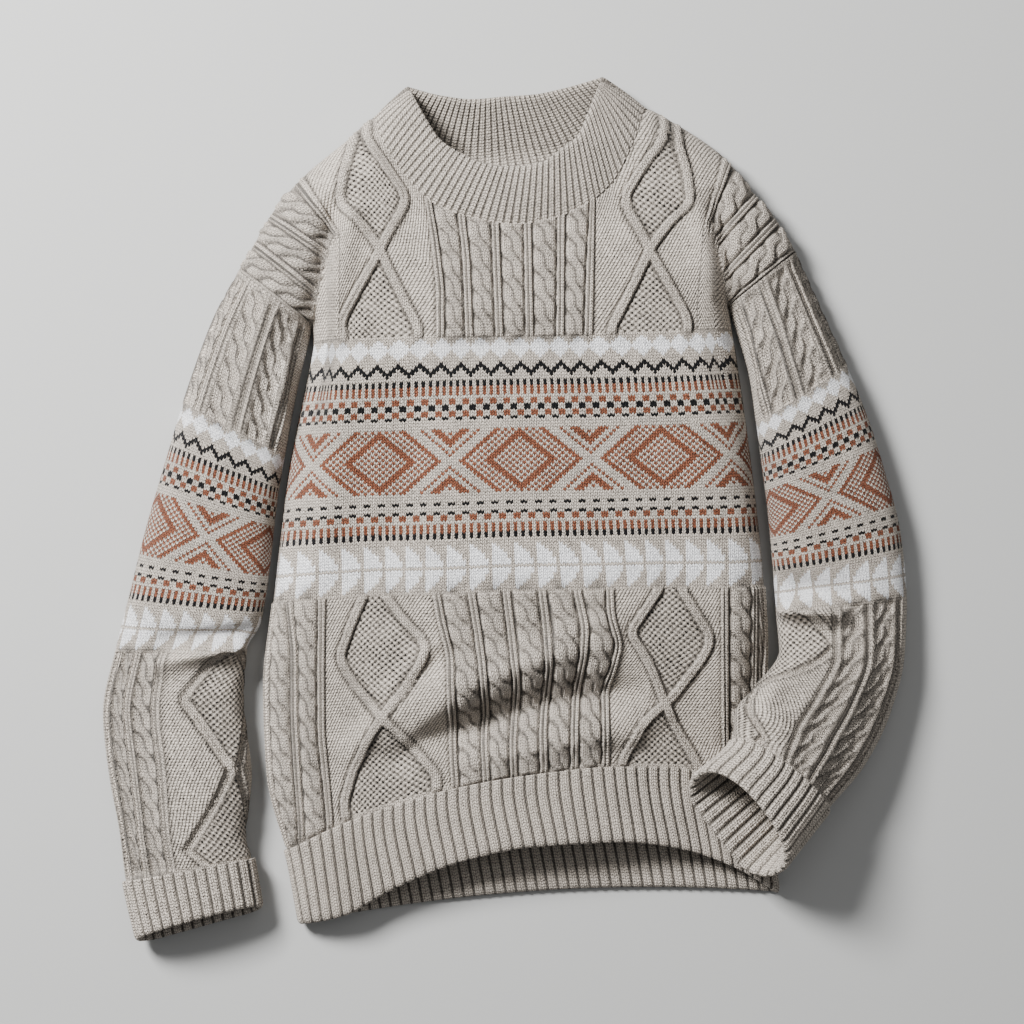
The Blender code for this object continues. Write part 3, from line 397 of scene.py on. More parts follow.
def hollow(relief, rows=2, columns=3):
    """How deep each place lies below the stitches round it, 0 to 1, which sets how much painted
    shade darkens it.
    """
    return np.clip((surrounding_mean(relief, rows, columns) - relief) / 1.3, 0, 1)


def pair_height(from_pair):
    """The two smooth ribs of a pair, by the distance from the pair's middle."""
    return GROUND + RIB_RISE * ridge(from_pair - PAIR_RIB, RIB_HALF)


def cabled(from_left, width, turn):
    """A cable between two rib pairs: height, stitch count and purl mark."""
    from_pair = np.minimum(from_left, width - from_left)
    half = np.clip(width / 2 - GUTTER_EDGE, 0.1, 9.0)
    rope_height, strand = rope(from_left - width / 2, turn, half)
    bed = np.clip((from_pair - GUTTER_EDGE) / 1.3, 0, 1)
    room = np.clip((width - 8) / 10, 0, 1)
    height = GROUND + (BED_RISE * bed + ROPE_RISE * rope_height) * room
    height = np.maximum(pair_height(from_pair), height)
    sided = np.interp(from_pair, [0, GUTTER_START, GUTTER_EDGE], [0, 1, 2])
    stitch = np.where(from_left > width / 2, 10 - sided, sided)
    stitch = np.where(from_pair > GUTTER_EDGE, 5 + 1.5 * strand, stitch)
    purl = (from_pair > GUTTER_START - 0.1) & (from_pair < GUTTER_EDGE + 0.3)
    return height, stitch, purl * 1.0


def banded_line(x, y, line):
    """Distance across a slanting raised band."""
    slope = (line_at(line, y + 1) - line_at(line, y - 1)) / 2
    return (x - line_at(line, y)) / np.sqrt(1 + slope ** 2)


def with_bands(height, across, ground):
    """Raise two lattice bands of two ribs each, with their gutters, by the distances across."""
    raised = np.maximum(*(ridge(gap - BAND_RIB, BAND_HALF) for gap in across))
    nearest = np.minimum(*across)
    beside = (nearest > BAND_GUTTER[0]) & (nearest < BAND_GUTTER[1])
    height = np.where(beside, np.minimum(height, LATTICE_GUTTER), height)
    return np.where(raised > 0, np.maximum(height, ground + BAND_RISE * raised), height)


def latticed(x, y, from_left, width, bands):
    """A lattice panel between two rib pairs: height, stitch count, seed and purl marks."""
    from_pair = np.minimum(from_left, width - from_left)
    height = np.where(from_pair < GUTTER_EDGE, GROUND, LATTICE_GROUND)
    height = np.maximum(height, pair_height(from_pair))
    across = [np.abs(banded_line(x, y, band)) for band in bands]
    height = with_bands(height, across, LATTICE_GROUND)
    low, high = (line_at(band, y) for band in bands)
    seed = ease(np.abs(high - low) / 2 - np.abs(x - (low + high) / 2), *SEED_EDGE)
    stitch = 2 + (from_left - GUTTER_EDGE) / STITCH_WIDTH
    return height, stitch, seed, (height < 0.05) * (1 - seed)


def lengths(places, axis=0):
    """The length run along lines of places up to each one."""
    steps = np.linalg.norm(np.diff(places, axis=axis), axis=-1)
    return np.insert(np.cumsum(steps, axis=axis), 0, 0, axis=axis)


def row_counts(places, course, foot, head):
    """Row numbers, 0 at the band's head and BAND_ROWS at its foot, by length beyond them."""
    length = lengths(places)
    at_foot, at_head = (
        np.array([np.interp(mark, course, column) for column in length.T]) for mark in (foot, head))
    below = BAND_ROWS + (at_foot - length) / ROW_HEIGHT
    above = (at_head - length) / ROW_HEIGHT
    inside = BAND_ROWS * (at_head - length) / (at_head - at_foot)
    return np.where(length < at_foot, below, np.where(length > at_head, above, inside))


def mesh_lines(marks, counts):
    """Where a mesh has its rows: evenly spaced from each mark to the next."""
    spans = [np.linspace(low, high, count)[:-1]
             for low, high, count in zip(marks, marks[1:], counts)]
    return np.append(np.concatenate(spans), marks[-1])


def with_relief(places, relief, wrap=False):
    """Move a grid of places out along the cloth's own normals."""
    if wrap:
        places = np.concatenate([places[:, -2:-1], places, places[:, 1:2]], axis=1)
    across = np.gradient(places, axis=1)
    along = np.gradient(places, axis=0)
    normal = unit(np.cross(across, along))
    if wrap:
        places, normal = places[:, 1:-1], normal[:, 1:-1]
    return places + normal * relief[..., None]


def knit_sheet(name, places, layers, wrap=False):
    """A grid of cloth bent to the places given. Each layer of its UVs holds two measures."""
    rows, columns = places.shape[:2]
    bpy.ops.object.select_all(action="DESELECT")
    bpy.ops.mesh.primitive_grid_add(x_subdivisions=columns - 1, y_subdivisions=rows - 1, size=1)
    piece = bpy.context.object
    piece.name = name
    mesh = piece.data
    mesh.name = name
    mesh.vertices.foreach_set("co", (places.reshape(-1, 3) * MILLIMETRE).ravel())
    corners = np.empty(len(mesh.loops), int)
    mesh.loops.foreach_get("vertex_index", corners)
    while mesh.uv_layers:
        mesh.uv_layers.remove(mesh.uv_layers[0])
    for layer_name, first, second in layers:
        layer = mesh.uv_layers.new(name=layer_name)
        pairs = np.stack([first.ravel()[corners], second.ravel()[corners]], axis=1)
        layer.uv.foreach_set("vector", pairs.astype(np.float32).ravel())
    if wrap:
        bpy.ops.object.mode_set(mode="EDIT")
        bpy.ops.mesh.select_all(action="SELECT")
        bpy.ops.mesh.remove_doubles(threshold=1e-6)
        bpy.ops.object.mode_set(mode="OBJECT")
    bpy.ops.object.shade_smooth()
    mesh.update()
    return piece


def add_node(tree, kind, sockets, **settings):
    """A new shader node, its sockets linked to other nodes' outputs or set to values."""
    node = tree.nodes.new("ShaderNode" + kind)
    for setting, value in settings.items():
        setattr(node, setting, value)
    for socket, value in sockets.items():
        if hasattr(value, "is_output"):
            tree.links.new(value, node.inputs[socket])
        else:
            node.inputs[socket].default_value = value
    return node


def arithmetic(tree):
    """Short ways to write sums in a node tree: plus(a, b) gives the socket of their sum."""

    def math(operation, *terms):
        return add_node(tree, "Math", dict(enumerate(terms)), operation=operation).outputs[0]

    def plus(first, second):
        return math("ADD", first, second)

    def minus(first, second):
        return math("SUBTRACT", first, second)

    def times(first, second):
        return math("MULTIPLY", first, second)

    return math, plus, minus, times


def new_group(name, takes, gives):
    """An empty shader node group with named inputs and outputs."""
    group = bpy.data.node_groups.new(name, "ShaderNodeTree")
    for socket_name, kind in takes:
        group.interface.new_socket(socket_name, in_out="INPUT", socket_type=kind)
    for socket_name, kind in gives:
        group.interface.new_socket(socket_name, in_out="OUTPUT", socket_type=kind)
    source = group.nodes.new("NodeGroupInput").outputs
    sink = group.nodes.new("NodeGroupOutput").inputs
    return group, source, sink


# Each knitted stitch is a V of two slanting legs; a purl stitch is a low crosswise bump
loops, source, sink = new_group(
    "knitted loops",
    (("Stitches", "NodeSocketVector"), ("Texture", "NodeSocketVector")),
    (("Height", "NodeSocketFloat"), ("Loop shade", "NodeSocketFloat"), ("Stitch", "NodeSocketFloat"),
     ("Row", "NodeSocketFloat")))
math, plus, minus, times = arithmetic(loops)
split = add_node(loops, "SeparateXYZ", {0: source["Stitches"]}).outputs
marks = add_node(loops, "SeparateXYZ", {0: source["Texture"]}).outputs
stitch_at, row_at = split["X"], split["Y"]


def half_wave(value):
    """A sine that is 0 at every whole number."""
    return math("SINE", times(value, 3.1416))


def blended(first, second, mark):
    """The first where the mark is 0, and the second where it is 1."""
    return plus(times(first, minus(1.0, mark)), times(second, mark))


aside = times(math("ABSOLUTE", minus(math("FRACT", stitch_at), 0.5)), 2.0)
slanted = plus(row_at, times(aside, 0.62))
leg = half_wave(math("FRACT", slanted))
knit_height = times(math("POWER", leg, 0.6), plus(times(half_wave(aside), 0.7), 0.3))
purl_row = math("ABSOLUTE", half_wave(row_at))
purl_across = math("ABSOLUTE", half_wave(plus(stitch_at, times(row_at, 0.5))))
purl_height = times(plus(times(purl_row, 0.6), 0.4), plus(times(purl_across, 0.8), 0.05))
seed_height = plus(times(times(half_wave(stitch_at), half_wave(row_at)), 0.42), 0.27)
height = blended(blended(knit_height, purl_height, marks["X"]), seed_height, marks["Y"])
loops.links.new(height, sink["Height"])
# Painted shade between the loops: darker the lower the yarn lies
loops.links.new(minus(1.0, math("MINIMUM", times(height, 1.3), 1.0)), sink["Loop shade"])
loops.links.new(math("FLOOR", stitch_at), sink["Stitch"])
loops.links.new(math("FLOOR", slanted), sink["Row"])

# The stranded band, charted row by row from its head: blobs, zigzag, ticks, squares, a wide
# row of diamonds with crosses between them, and steps
chart, source, sink = new_group(
    "stranded band chart",
    (("Stitch", "NodeSocketFloat"), ("Row", "NodeSocketFloat")),
    (("White", "NodeSocketFloat"), ("Rust", "NodeSocketFloat"), ("Black", "NodeSocketFloat")))
math, plus, minus, times = arithmetic(chart)
stitch_at, row_at = source["Stitch"], source["Row"]


def between(value, low, high):
    """1 from low up to but not including high."""
    return times(math("GREATER_THAN", value, low - 0.5), math("LESS_THAN", value, high - 0.5))


def every(period, width, shift=0.0):
    """Width stitches coloured in every period stitches."""
    place = math("FLOORED_MODULO", plus(stitch_at, shift), float(period))
    return math("LESS_THAN", place, width - 0.5)


def total(*masks):
    """Where any of these masks is 1."""
    whole = masks[0]
    for mask in masks[1:]:
        whole = math("MAXIMUM", whole, mask)
    return whole


def on_rows(first, after, mask):
    """A mask on the rows from first up to but not including after."""
    return times(between(row_at, first, after), mask)


def rows_from(row):
    """How many rows away a row is."""
    return math("ABSOLUTE", minus(row_at, row))


six = math("FLOORED_MODULO", stitch_at, 6.0)
six_off = math("ABSOLUTE", minus(six, 3.0))
blob = math("LESS_THAN", plus(six_off, times(rows_from(3.0), 0.9)), 3.45)
zigzag = math("LESS_THAN", math("ABSOLUTE", minus(minus(row_at, 8.5), six_off)), 0.9)
stair = math("LESS_THAN", six, 4.5)
step_down = times(stair, math("LESS_THAN", six, times(minus(row_at, 67.2), 0.8)))
step_up = times(stair, math("LESS_THAN", six, times(minus(82.8, row_at), 0.8)))
forty = minus(math("FLOORED_MODULO", plus(stitch_at, 20.0), 40.0), 20.0)
from_heart = plus(math("ABSOLUTE", forty), rows_from(40.0))
even = math("LESS_THAN", math("FLOORED_MODULO", plus(stitch_at, row_at), 2.0), 0.5)
diamonds = total(
    times(between(from_heart, 0, 8), even),
    between(from_heart, 8, 11), between(from_heart, 12, 13), between(from_heart, 14, 15),
    between(from_heart, 16, 18), between(from_heart, 22, 23), between(from_heart, 25, 28),
    times(between(from_heart, 29, 30), every(2, 1)))
rust = total(
    on_rows(16, 19, every(2, 1)), on_rows(20, 22, every(4, 2)), on_rows(24, 26, every(4, 2)),
    on_rows(30, 51, diamonds), on_rows(58, 60, every(4, 2, 2)), on_rows(61, 64, every(2, 1)))
black = total(
    on_rows(8, 13, zigzag), on_rows(14, 16, every(2, 1)), on_rows(22, 24, every(4, 2, 2)),
    on_rows(26, 27, every(4, 2, 2)), on_rows(54, 55, every(4, 2)), on_rows(57, 58, every(4, 2)),
    on_rows(64, 66, every(2, 1)))
white = total(on_rows(0, 7, blob), on_rows(68, 75, step_down), on_rows(76, 83, step_up))
chart.links.new(white, sink["White"])
chart.links.new(rust, sink["Rust"])
chart.links.new(black, sink["Black"])

# Heathered wool: pale and dark fibres carded together, with a soft fuzz over each stitch
# Painted shade darkens the wool between its loops and in the gutters beside raised stitches
heather_and_shade, source, sink = new_group(
    "heathered wool and painted shade",
    (("Wool", "NodeSocketColor"), ("Loop shade", "NodeSocketFloat"),
     ("Hollow shade", "NodeSocketVector"), ("Mottle", "NodeSocketFloat")),
    (("Color", "NodeSocketColor"), ("Fuzz", "NodeSocketFloat")))
math, plus, minus, times = arithmetic(heather_and_shade)
where = add_node(heather_and_shade, "TexCoord", {}).outputs["Object"]
fibres, patches, fuzz = (
    add_node(heather_and_shade, "TexNoise", {"Scale": scale, "Detail": detail, "Vector": where})
    .outputs["Fac"] for scale, detail in ((900.0, 2.0), (45.0, 3.0), (2600.0, 1.0)))
light_share = plus(times(minus(fibres, 0.5), 1.4), times(minus(patches, 0.5), 0.35))
light_share = times(light_share, source["Mottle"])
# Painted shade in the gutters: the wool is darker where it lies below the stitches round it
sunk = add_node(heather_and_shade, "SeparateXYZ", {0: source["Hollow shade"]}).outputs["X"]
# The fibres' mix lightens or darkens the wool at random, and painted shade between the loops
# darkens it
value = plus(1.0, minus(light_share, times(source["Loop shade"], 0.85)))
value = times(value, minus(1.0, times(sunk, 0.74)))
shade = add_node(heather_and_shade, "VectorMath", {0: source["Wool"], "Scale": value}, operation="SCALE")
heather_and_shade.links.new(shade.outputs[0], sink["Color"])
heather_and_shade.links.new(fuzz, sink["Fuzz"])

OATMEAL = (0.61, 0.541, 0.464, 1)
WHITE_WOOL = (0.98, 0.975, 0.985, 1)
RUST_WOOL = (0.235, 0.083, 0.045, 1)
BLACK_WOOL = (0.006, 0.006, 0.007, 1)


def knit_material(name, banded, depth, mottle):
    """Wool knitted from its stitch counts, with or without the stranded colour band."""
    material = bpy.data.materials.new(name)
    material.use_nodes = True
    tree = material.node_tree
    math, plus, minus, times = arithmetic(tree)

    def add(kind, sockets, **settings):
        return add_node(tree, kind, sockets, **settings)

    def measure(layer):
        return add("UVMap", {}, uv_map=layer).outputs[0]

    stitches = measure("stitches")
    if banded:
        band = measure("band")
        row = add("SeparateXYZ", {0: band}).outputs["Y"]
        on_band = times(math("GREATER_THAN", row, 0.0), math("LESS_THAN", row, BAND_ROWS + 0.5))
        choice = add("Mix", {"Factor": on_band, "A": stitches, "B": band}, data_type="VECTOR")
        stitches = choice.outputs["Result"]
    where = add("TexCoord", {}).outputs["Object"]
    wander = add("TexNoise", {"Scale": 520.0, "Detail": 1.0, "Vector": where}).outputs["Color"]
    wander = add("VectorMath", {0: wander, 1: (0.5, 0.5, 0.5)}, operation="SUBTRACT").outputs[0]
    uneven = add("VectorMath", {0: wander, 1: (0.5, 0.5, 0.0), 2: stitches},
                 operation="MULTIPLY_ADD")
    knit = add("Group", {"Stitches": uneven.outputs[0], "Texture": measure("texture")},
               node_tree=loops).outputs
    gap, yarn = knit["Loop shade"], OATMEAL
    if banded:
        masks = add("Group", {"Stitch": knit["Stitch"], "Row": knit["Row"]},
                    node_tree=chart).outputs
        for mask, colour in (("White", WHITE_WOOL), ("Rust", RUST_WOOL), ("Black", BLACK_WOOL)):
            share = times(masks[mask], on_band)
            mix = add("Mix", {"Factor": share, "A": yarn, "B": colour}, data_type="RGBA")
            yarn = mix.outputs["Result"]
        # White yarn gets less of the painted shade between its loops
        less_shade_on_white = times(times(masks["White"], on_band), 0.6)
        gap = times(gap, minus(1.0, less_shade_on_white))
    wool = add("Group", {"Wool": yarn, "Mottle": mottle, "Hollow shade": measure("hollow"), "Loop shade": gap},
               node_tree=heather_and_shade).outputs
    surface = plus(knit["Height"], times(wool["Fuzz"], 0.35))
    bump = add("Bump", {"Strength": 1.0, "Distance": depth, "Height": surface})
    shader = tree.nodes["Principled BSDF"].inputs
    shader["Roughness"].default_value = 0.92
    shader["Specular IOR Level"].default_value = 0.1
    shader["Sheen Weight"].default_value = 0.07
    shader["Sheen Roughness"].default_value = 0.45
    tree.links.new(wool["Color"], shader["Base Color"])
    tree.links.new(bump.outputs[0], shader["Normal"])
    return material


def dress(piece, material, node):
    """The piece's wool, its place under the root body, and the solid that it stands for, which is
    hidden.
    """
    piece.data.materials.clear()
    piece.data.materials.append(material)
    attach(piece, "root")
    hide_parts(node)


banded_knit = knit_material("oatmeal knit with its colour band", True, 0.0013, 1.15)
rib_knit = knit_material("oatmeal rib", False, 0.0010, 0.85)

# The front's mesh columns run along its rib pairs, panel by panel
front_courses = mesh_lines((1, BAND_FOOT, BAND_HEAD, TOP), (98, 26, 102))
pair_lines = np.array([pair_wales(course) for course in front_courses])
shares = [panel_columns(width) for width in PANEL_WIDTHS]
wale_parts, panel_of, share_of = [], [], []
for panel, share in enumerate(shares):
    share = share if panel == len(shares) - 1 else share[:-1]
    left, right = pair_lines[:, panel, None], pair_lines[:, panel + 1, None]
    wale_parts.append(left + (right - left) * share)
    panel_of += [panel] * len(share)
    share_of += list(share)
wales = np.concatenate(wale_parts, axis=1)
courses = np.repeat(front_courses[:, None], wales.shape[1], axis=1)
panel_of, share_of = np.array(panel_of), np.array(share_of)

front_base = front_surface(wales.ravel(), courses.ravel()).reshape(*wales.shape, 3)
front_row = row_counts(front_base, front_courses, BAND_FOOT, BAND_HEAD)
ends = [int(np.argmax(panel_of == panel)) for panel in range(len(shares))] + [wales.shape[1] - 1]
relief, purl, seed, front_stitch = np.zeros((4, *wales.shape))
above_band = courses > (BAND_FOOT + BAND_HEAD) / 2
for panel, panel_width in enumerate(PANEL_WIDTHS):
    own = np.flatnonzero(panel_of == panel)
    left, right = front_base[:, ends[panel]], front_base[:, ends[panel + 1]]
    width = np.maximum(np.linalg.norm(right - left, axis=1), 0.5)[:, None]
    from_left = share_of[own] * width
    if panel_width == LATTICE_WIDTH:
        x, y = front_base[:, own, 0], front_base[:, own, 1]
        far = int(panel > 6)
        low = latticed(x, y, from_left, width, LATTICES_BELOW[far])
        high = latticed(x, y, from_left, width, LATTICES_ABOVE[far])
        relief[:, own], count, seed[:, own], purl[:, own] = (
            np.where(above_band[:, own], above, below) for above, below in zip(high, low))
    else:
        turn = front_row[:, own] / CABLE_ROWS + CABLE_SHIFT * panel
        relief[:, own], count, purl[:, own] = cabled(from_left, width, turn)
    front_stitch[:, own] = count + PANEL_STITCHES * panel

# The raised stitches stop at the hem, the band, the sides and the shoulders. The side panels
# above the band are squeezed to plain purl stitches up to the armholes.
from_side = np.minimum(wales, LAST_WALE - wales)
side_panel = from_side < SIDE_PANEL
shown = ease(courses, BAND_HEAD, BAND_HEAD + 0.04)
shown += ease(BAND_FOOT - courses, 0, 0.03) * ease(courses, HEM_TOP - 0.02, HEM_TOP + 0.03)
shown *= ease(from_side, 0, 0.04) * ease(TOP - courses, 0, 0.05)
shown = np.where(side_panel & above_band, shown * ease(courses, 6.85, 7.12), shown)
relief, purl, seed = relief * shown, purl * (shown > 0.5), seed * (shown > 0.5)

middle_row = int(np.argmin(np.abs(front_courses - (BAND_FOOT + BAND_HEAD) / 2)))
from_left = lengths(front_base[middle_row])
from_middle = from_left - np.interp(LAST_WALE / 2, wales[middle_row], from_left)
band_stitch = MIDDLE_STITCH + from_middle / BAND_STITCH_WIDTH
band_stitch = np.tile(band_stitch, (len(front_courses), 1))
squeezed = side_panel & (courses > BAND_HEAD + 0.02) & (shown < 0.5)
front_stitch = np.where(squeezed, band_stitch, front_stitch)
purl = np.where(squeezed, 1, purl)
# The third layer of UVs carries painted shade for the gutters beside cables, rib pairs and lattice
# bands
front = knit_sheet("front", with_relief(front_base, relief), (
    ("stitches", front_stitch, front_row), ("texture", purl, seed),
    ("hollow", hollow(relief), 0 * relief), ("band", band_stitch, front_row)))
dress(front, banded_knit, "front")

# ---------------------------------------------------------------- back
# The back is knitted like the front with a shallower neck. It lies flat on the table under the
# front, turned up a little at its side seams, and sits on its own turned-up hem.

BACK_ROUND = 14.0         # how far in from its side the back turns up
BACK_NECK_DIP = 28.0      # its neckline, below the two neck points
RIB_UNDER, RIB_WALL = 1.1, 3.0   # what the back lies on at its foot: gap and wall of the hem
BACK_CLEARANCE = 1.2      # the sheet's height above the table
COUNTED_ROW = 80          # the mesh row, in the band, along which its stitches are counted


def back_neck(fraction):
    """The back's neckline, from the left neck point to the right one."""
    ends = top_edge(np.array([NECK_LEFT, NECK_RIGHT]))
    line = ends[0] + (ends[1] - ends[0]) * fraction[:, None]
    line[:, 1] -= BACK_NECK_DIP * np.sin(np.pi * fraction) ** 0.6
    return line


def back_surface(wale, course):
    """The back's lower face, flat on the table and turned up to the seams."""
    low = np.minimum(course, CREASE)
    left = front_plan(np.zeros_like(wale), low)
    right = front_plan(np.full_like(wale, LAST_WALE), low)
    across = (wale / LAST_WALE)[:, None]
    plan = left + (right - left) * across
    sag = np.interp(low, [0, 1, BAND_FOOT], [14.0, 8.0, 0.0])
    plan[:, 1] += sag * (1 - (2 * across[:, 0] - 1) ** 2)
    neck_part = np.clip((wale - NECK_LEFT) / (NECK_RIGHT - NECK_LEFT), 0, 1)
    in_neck = (wale > NECK_LEFT) & (wale < NECK_RIGHT)
    top = np.where(in_neck[:, None], back_neck(neck_part), top_edge(wale))
    plan += np.clip(course - CREASE, 0, 1)[:, None] * (top - plan)
    inset = np.minimum(inset_from_sides(plan) / BACK_ROUND, 1)
    height = SEAM_HEIGHT * (1 - np.sqrt(1 - (1 - inset) ** 2))
    height += (RIB_UNDER + RIB_WALL) * ease(1.6 - course, 0, 0.5) * inset
    return np.column_stack([plan, height])


back_wales = np.linspace(LAST_WALE, 0, 190)
back_courses = mesh_lines((1, BAND_FOOT, BAND_HEAD, TOP), (46, 44, 36))
wales, courses = np.meshgrid(back_wales, back_courses)
back_base = back_surface(wales.ravel(), courses.ravel()).reshape(*wales.shape, 3)
back_row = row_counts(back_base, back_courses, BAND_FOOT, BAND_HEAD)
back_base[..., 2] = np.maximum(back_base[..., 2], BACK_CLEARANCE)
from_left = lengths(back_base[COUNTED_ROW])
band_stitch = MIDDLE_STITCH + (from_left - from_left[-1] / 2) / BAND_STITCH_WIDTH
band_stitch = np.tile(band_stitch, (len(back_courses), 1))
unmarked = np.zeros(wales.shape)
back = knit_sheet("back", back_base, (
    ("stitches", band_stitch, back_row), ("texture", unmarked, unmarked),
    ("hollow", unmarked, unmarked), ("band", band_stitch, back_row)))
dress(back, banded_knit, "back")

# ---------------------------------------------------------------- hem
# The hem is a broad two-by-two rib knitted on below the body, then turned up double and left
# loose, so that its cast-off edge stands proud. Front and back are joined at the sides.

HEM_RIBS = 46
RIB_DEPTH = 1.8           # from a gutter to the top of a rib


def rib_profile(phase):
    """Across one rib, phase 0 to 1: two smooth columns side by side, then a sunk gutter."""
    place = phase % 1.0
    body = ease(place, 0.0, 0.12) * ease(0.84 - place, 0.0, 0.12)
    parting = 0.22 * np.exp(-((place - 0.42) / 0.05) ** 2)
    return body * (1 - parting)


def rib_stitches(phase):
    """Stitch counts across ribs: two knitted stitches on each rib and one in its gutter."""
    whole = np.floor(phase)
    return 3 * whole + np.interp(phase - whole, [0, 0.02, 0.42, 0.84, 1], [-0.1, 0, 1, 2, 2.9])


def even_places(path, wanted):
    """Places along a path, 0 to 1, that are evenly spaced by length."""
    length = lengths(path)
    return np.interp(wanted * length[-1], length, np.linspace(0, 1, len(path)))


def moved_out(surface, first, second, lift, flip):
    """A surface's places moved out along its normal by lift."""
    across = surface(first + 0.02, second) - surface(first - 0.02, second)
    along = surface(first, second + 0.02) - surface(first, second - 0.02)
    normal = unit(np.cross(across, along)) * flip
    return surface(first, second) + normal * lift.reshape(-1, 1)


def front_face(wale, course):
    """The front's face for a rib's ring, which keeps to the panel."""
    return front_surface(np.clip(wale, 0, LAST_WALE), np.clip(course, 0, TOP))


def back_face(wale, course):
    """The back's face, likewise."""
    return back_surface(np.clip(wale, 0, LAST_WALE), np.clip(course, 0, TOP))


def ribbed_places(surface, section, ring, relief, flip, share=1.0):
    """A rib's section carried round a ring, its ribs raised by the relief, all by a share."""
    section = np.array(section)
    around, along = np.meshgrid(ring, section[:, 0])
    lift = (section[:, 1:2] + section[:, 2:3] * relief) * share
    places = moved_out(surface, around.ravel(), along.ravel(), lift.ravel(), flip)
    return places.reshape(*around.shape, 3)


def rib_sheet(name, places, stitch, sunk, depth, order, wrap):
    """Cloth of one rib, whose stitch counts, sunk marks and depths of painted shade are the same in
    every row.
    """
    rows = lengths(places) / ROW_HEIGHT
    stitch, sunk, depth = (
        np.tile(values * 1.0, (len(places), 1)) for values in (stitch, sunk, depth))
    return knit_sheet(name, places[::order], (
        ("stitches", stitch, rows[::order]), ("texture", sunk, 0 * sunk),
        ("hollow", depth, 0 * depth)), wrap)


def broad_rib(name, surface, section, ring, phase, flip, heights, wrap=False):
    """A two-by-two rib turned up double, kept between two heights."""
    profile = rib_profile(phase)
    places = ribbed_places(surface, section, ring, RIB_DEPTH * (profile - 0.5), flip)
    if wrap:
        places[:, -1] = places[:, 0]
    places[..., 2] = np.clip(places[..., 2], *heights)
    # Painted shade, darkest in each rib's gutter
    depth = 0.95 * (1 - profile) ** 1.4
    return rib_sheet(name, places, rib_stitches(phase), profile < 0.35, depth, -1, wrap)


# The turned rib's section: course, lift from the panel's face, how much the ribs show there
HEM_SECTION = (
    [(1.0, 1.2, 0.0), (1.06, 1.2, 0.0), (1.11, 1.3, 0.1), (1.135, 1.9, 0.4), (1.125, 2.7, 0.8)]
    + [(course, 2.6, 1.0) for course in np.linspace(1.1, 0.08, 26)]
    + [(0.03, 2.0, 0.9), (0.0, 0.9, 0.7), (0.0, -0.8, 0.6), (0.03, -2.0, -0.6)]
    + [(course, -2.6, -1.0) for course in np.linspace(0.08, 1.0, 22)])

for name, face, flip, heights in (
    ("hem_front", front_face, 1, (SEAM_HEIGHT, None)),
    ("hem_back", back_face, -1, (0, SEAM_HEIGHT)),
):
    even = np.linspace(0, 1, HEM_RIBS * 8 + 1)[::flip]
    path = face(np.linspace(0, LAST_WALE, 400), np.full(400, 0.5))
    ring = even_places(path, even) * LAST_WALE
    hem = broad_rib(name, face, HEM_SECTION, ring, even * HEM_RIBS, flip, heights)
    dress(hem, rib_knit, name)

# ---------------------------------------------------------------- sleeves
# Each sleeve is a tube knitted to match, three cables over the shoulder, the colour band round
# the upper arm, then cables and one lattice down the forearm. The left one hangs straight; the
# right one is bent at the elbow so that its forearm lies over the corner of the hem.

SLEEVE_LEFT = (
    # outer x, y,  inner x, y, foot outer, foot inner, side, top, lean
    (-232, 203, -169, 156, 0.0, 0.0, 10, 40, 0.0),
    (-252, 163, -182, 101, 0.0, 0.0, 12, 43, 0.0),
    (-276, 97, -191, 52, 0.0, 0.0, 13, 44, 0.0),
    (-293, 41, -199, 3, 0.0, 0.0, 14, 44, 0.0),
    (-309, -14, -204, -43, 0.0, 0.0, 14, 44, 0.0),
    (-324, -74, -212, -93, 0.0, 0.0, 14, 43, 0.0),
    (-335, -118, -224, -117, 0.0, 0.0, 14, 37, 0.0),
    (-345, -169, -227, -159, 0.0, 0.0, 14, 43, 0.0),
    (-340, -220, -220, -222, 0.0, 0.0, 14, 44, 0.0),
    (-331, -267, -225, -270, 2.0, 2.0, 14, 42, 0.0),
    (-325, -311, -220, -292, 4.2, 4.2, 14, 38, 0.1),
    (-314, -360, -213, -332, 4.2, 4.2, 14, 36, 0.3),
)
SLEEVE_RIGHT = (
    (240, 220, 183, 174, 0.0, 0.0, 10, 40, 0.0),
    (261, 171, 201, 113, 0.0, 0.0, 12, 43, 0.0),
    (281, 127, 206, 78, 0.0, 0.0, 13, 44, 0.0),
    (301, 77, 211, 39, 0.0, 0.0, 14, 44, 0.0),
    (314, 36, 216, 0, 0.0, 0.0, 14, 44, 0.0),
    (328, -19, 220, -45, 0.0, 0.0, 14, 43, 0.0),
    (333, -74, 223, -84, 0.0, 0.0, 14, 40, 0.0),
    (331, -121, 225, -116, 0.0, 9.0, 14, 44, 0.0),
    (319, -168, 204, -144, 2.0, 25.0, 15, 46, 0.1),
    (297, -210, 186, -167, 10.0, 29.0, 17, 48, 0.2),
    (261, -250, 185, -188, 20.0, 34.0, 22, 52, 0.4),
    (219, -297, 156, -216, 38.0, 39.0, 24, 54, 0.8),
)
SLEEVES = (("left", SLEEVE_LEFT, 0), ("right", SLEEVE_RIGHT, LAST_WALE))
SLEEVE_BAND_HEAD, SLEEVE_BAND_FOOT = 2.1, 5.95
SLEEVE_STITCHES = 96      # round the sleeve in its colour band
SLEEVE_SHIFT = 0.4        # how far each next cable of a sleeve is ahead, in crossings
# Rib pairs above and below the sleeve's colour band, by how far round the sleeve they run
UPPER_PAIRS = (0.258, 0.386, 0.514, 0.641)
LOWER_PAIRS = {"left": (0.322, 0.401, 0.473), "right": (0.343, 0.447, 0.519)}
SLEEVE_GROUND, SLEEVE_GUTTER = -0.2, -0.6
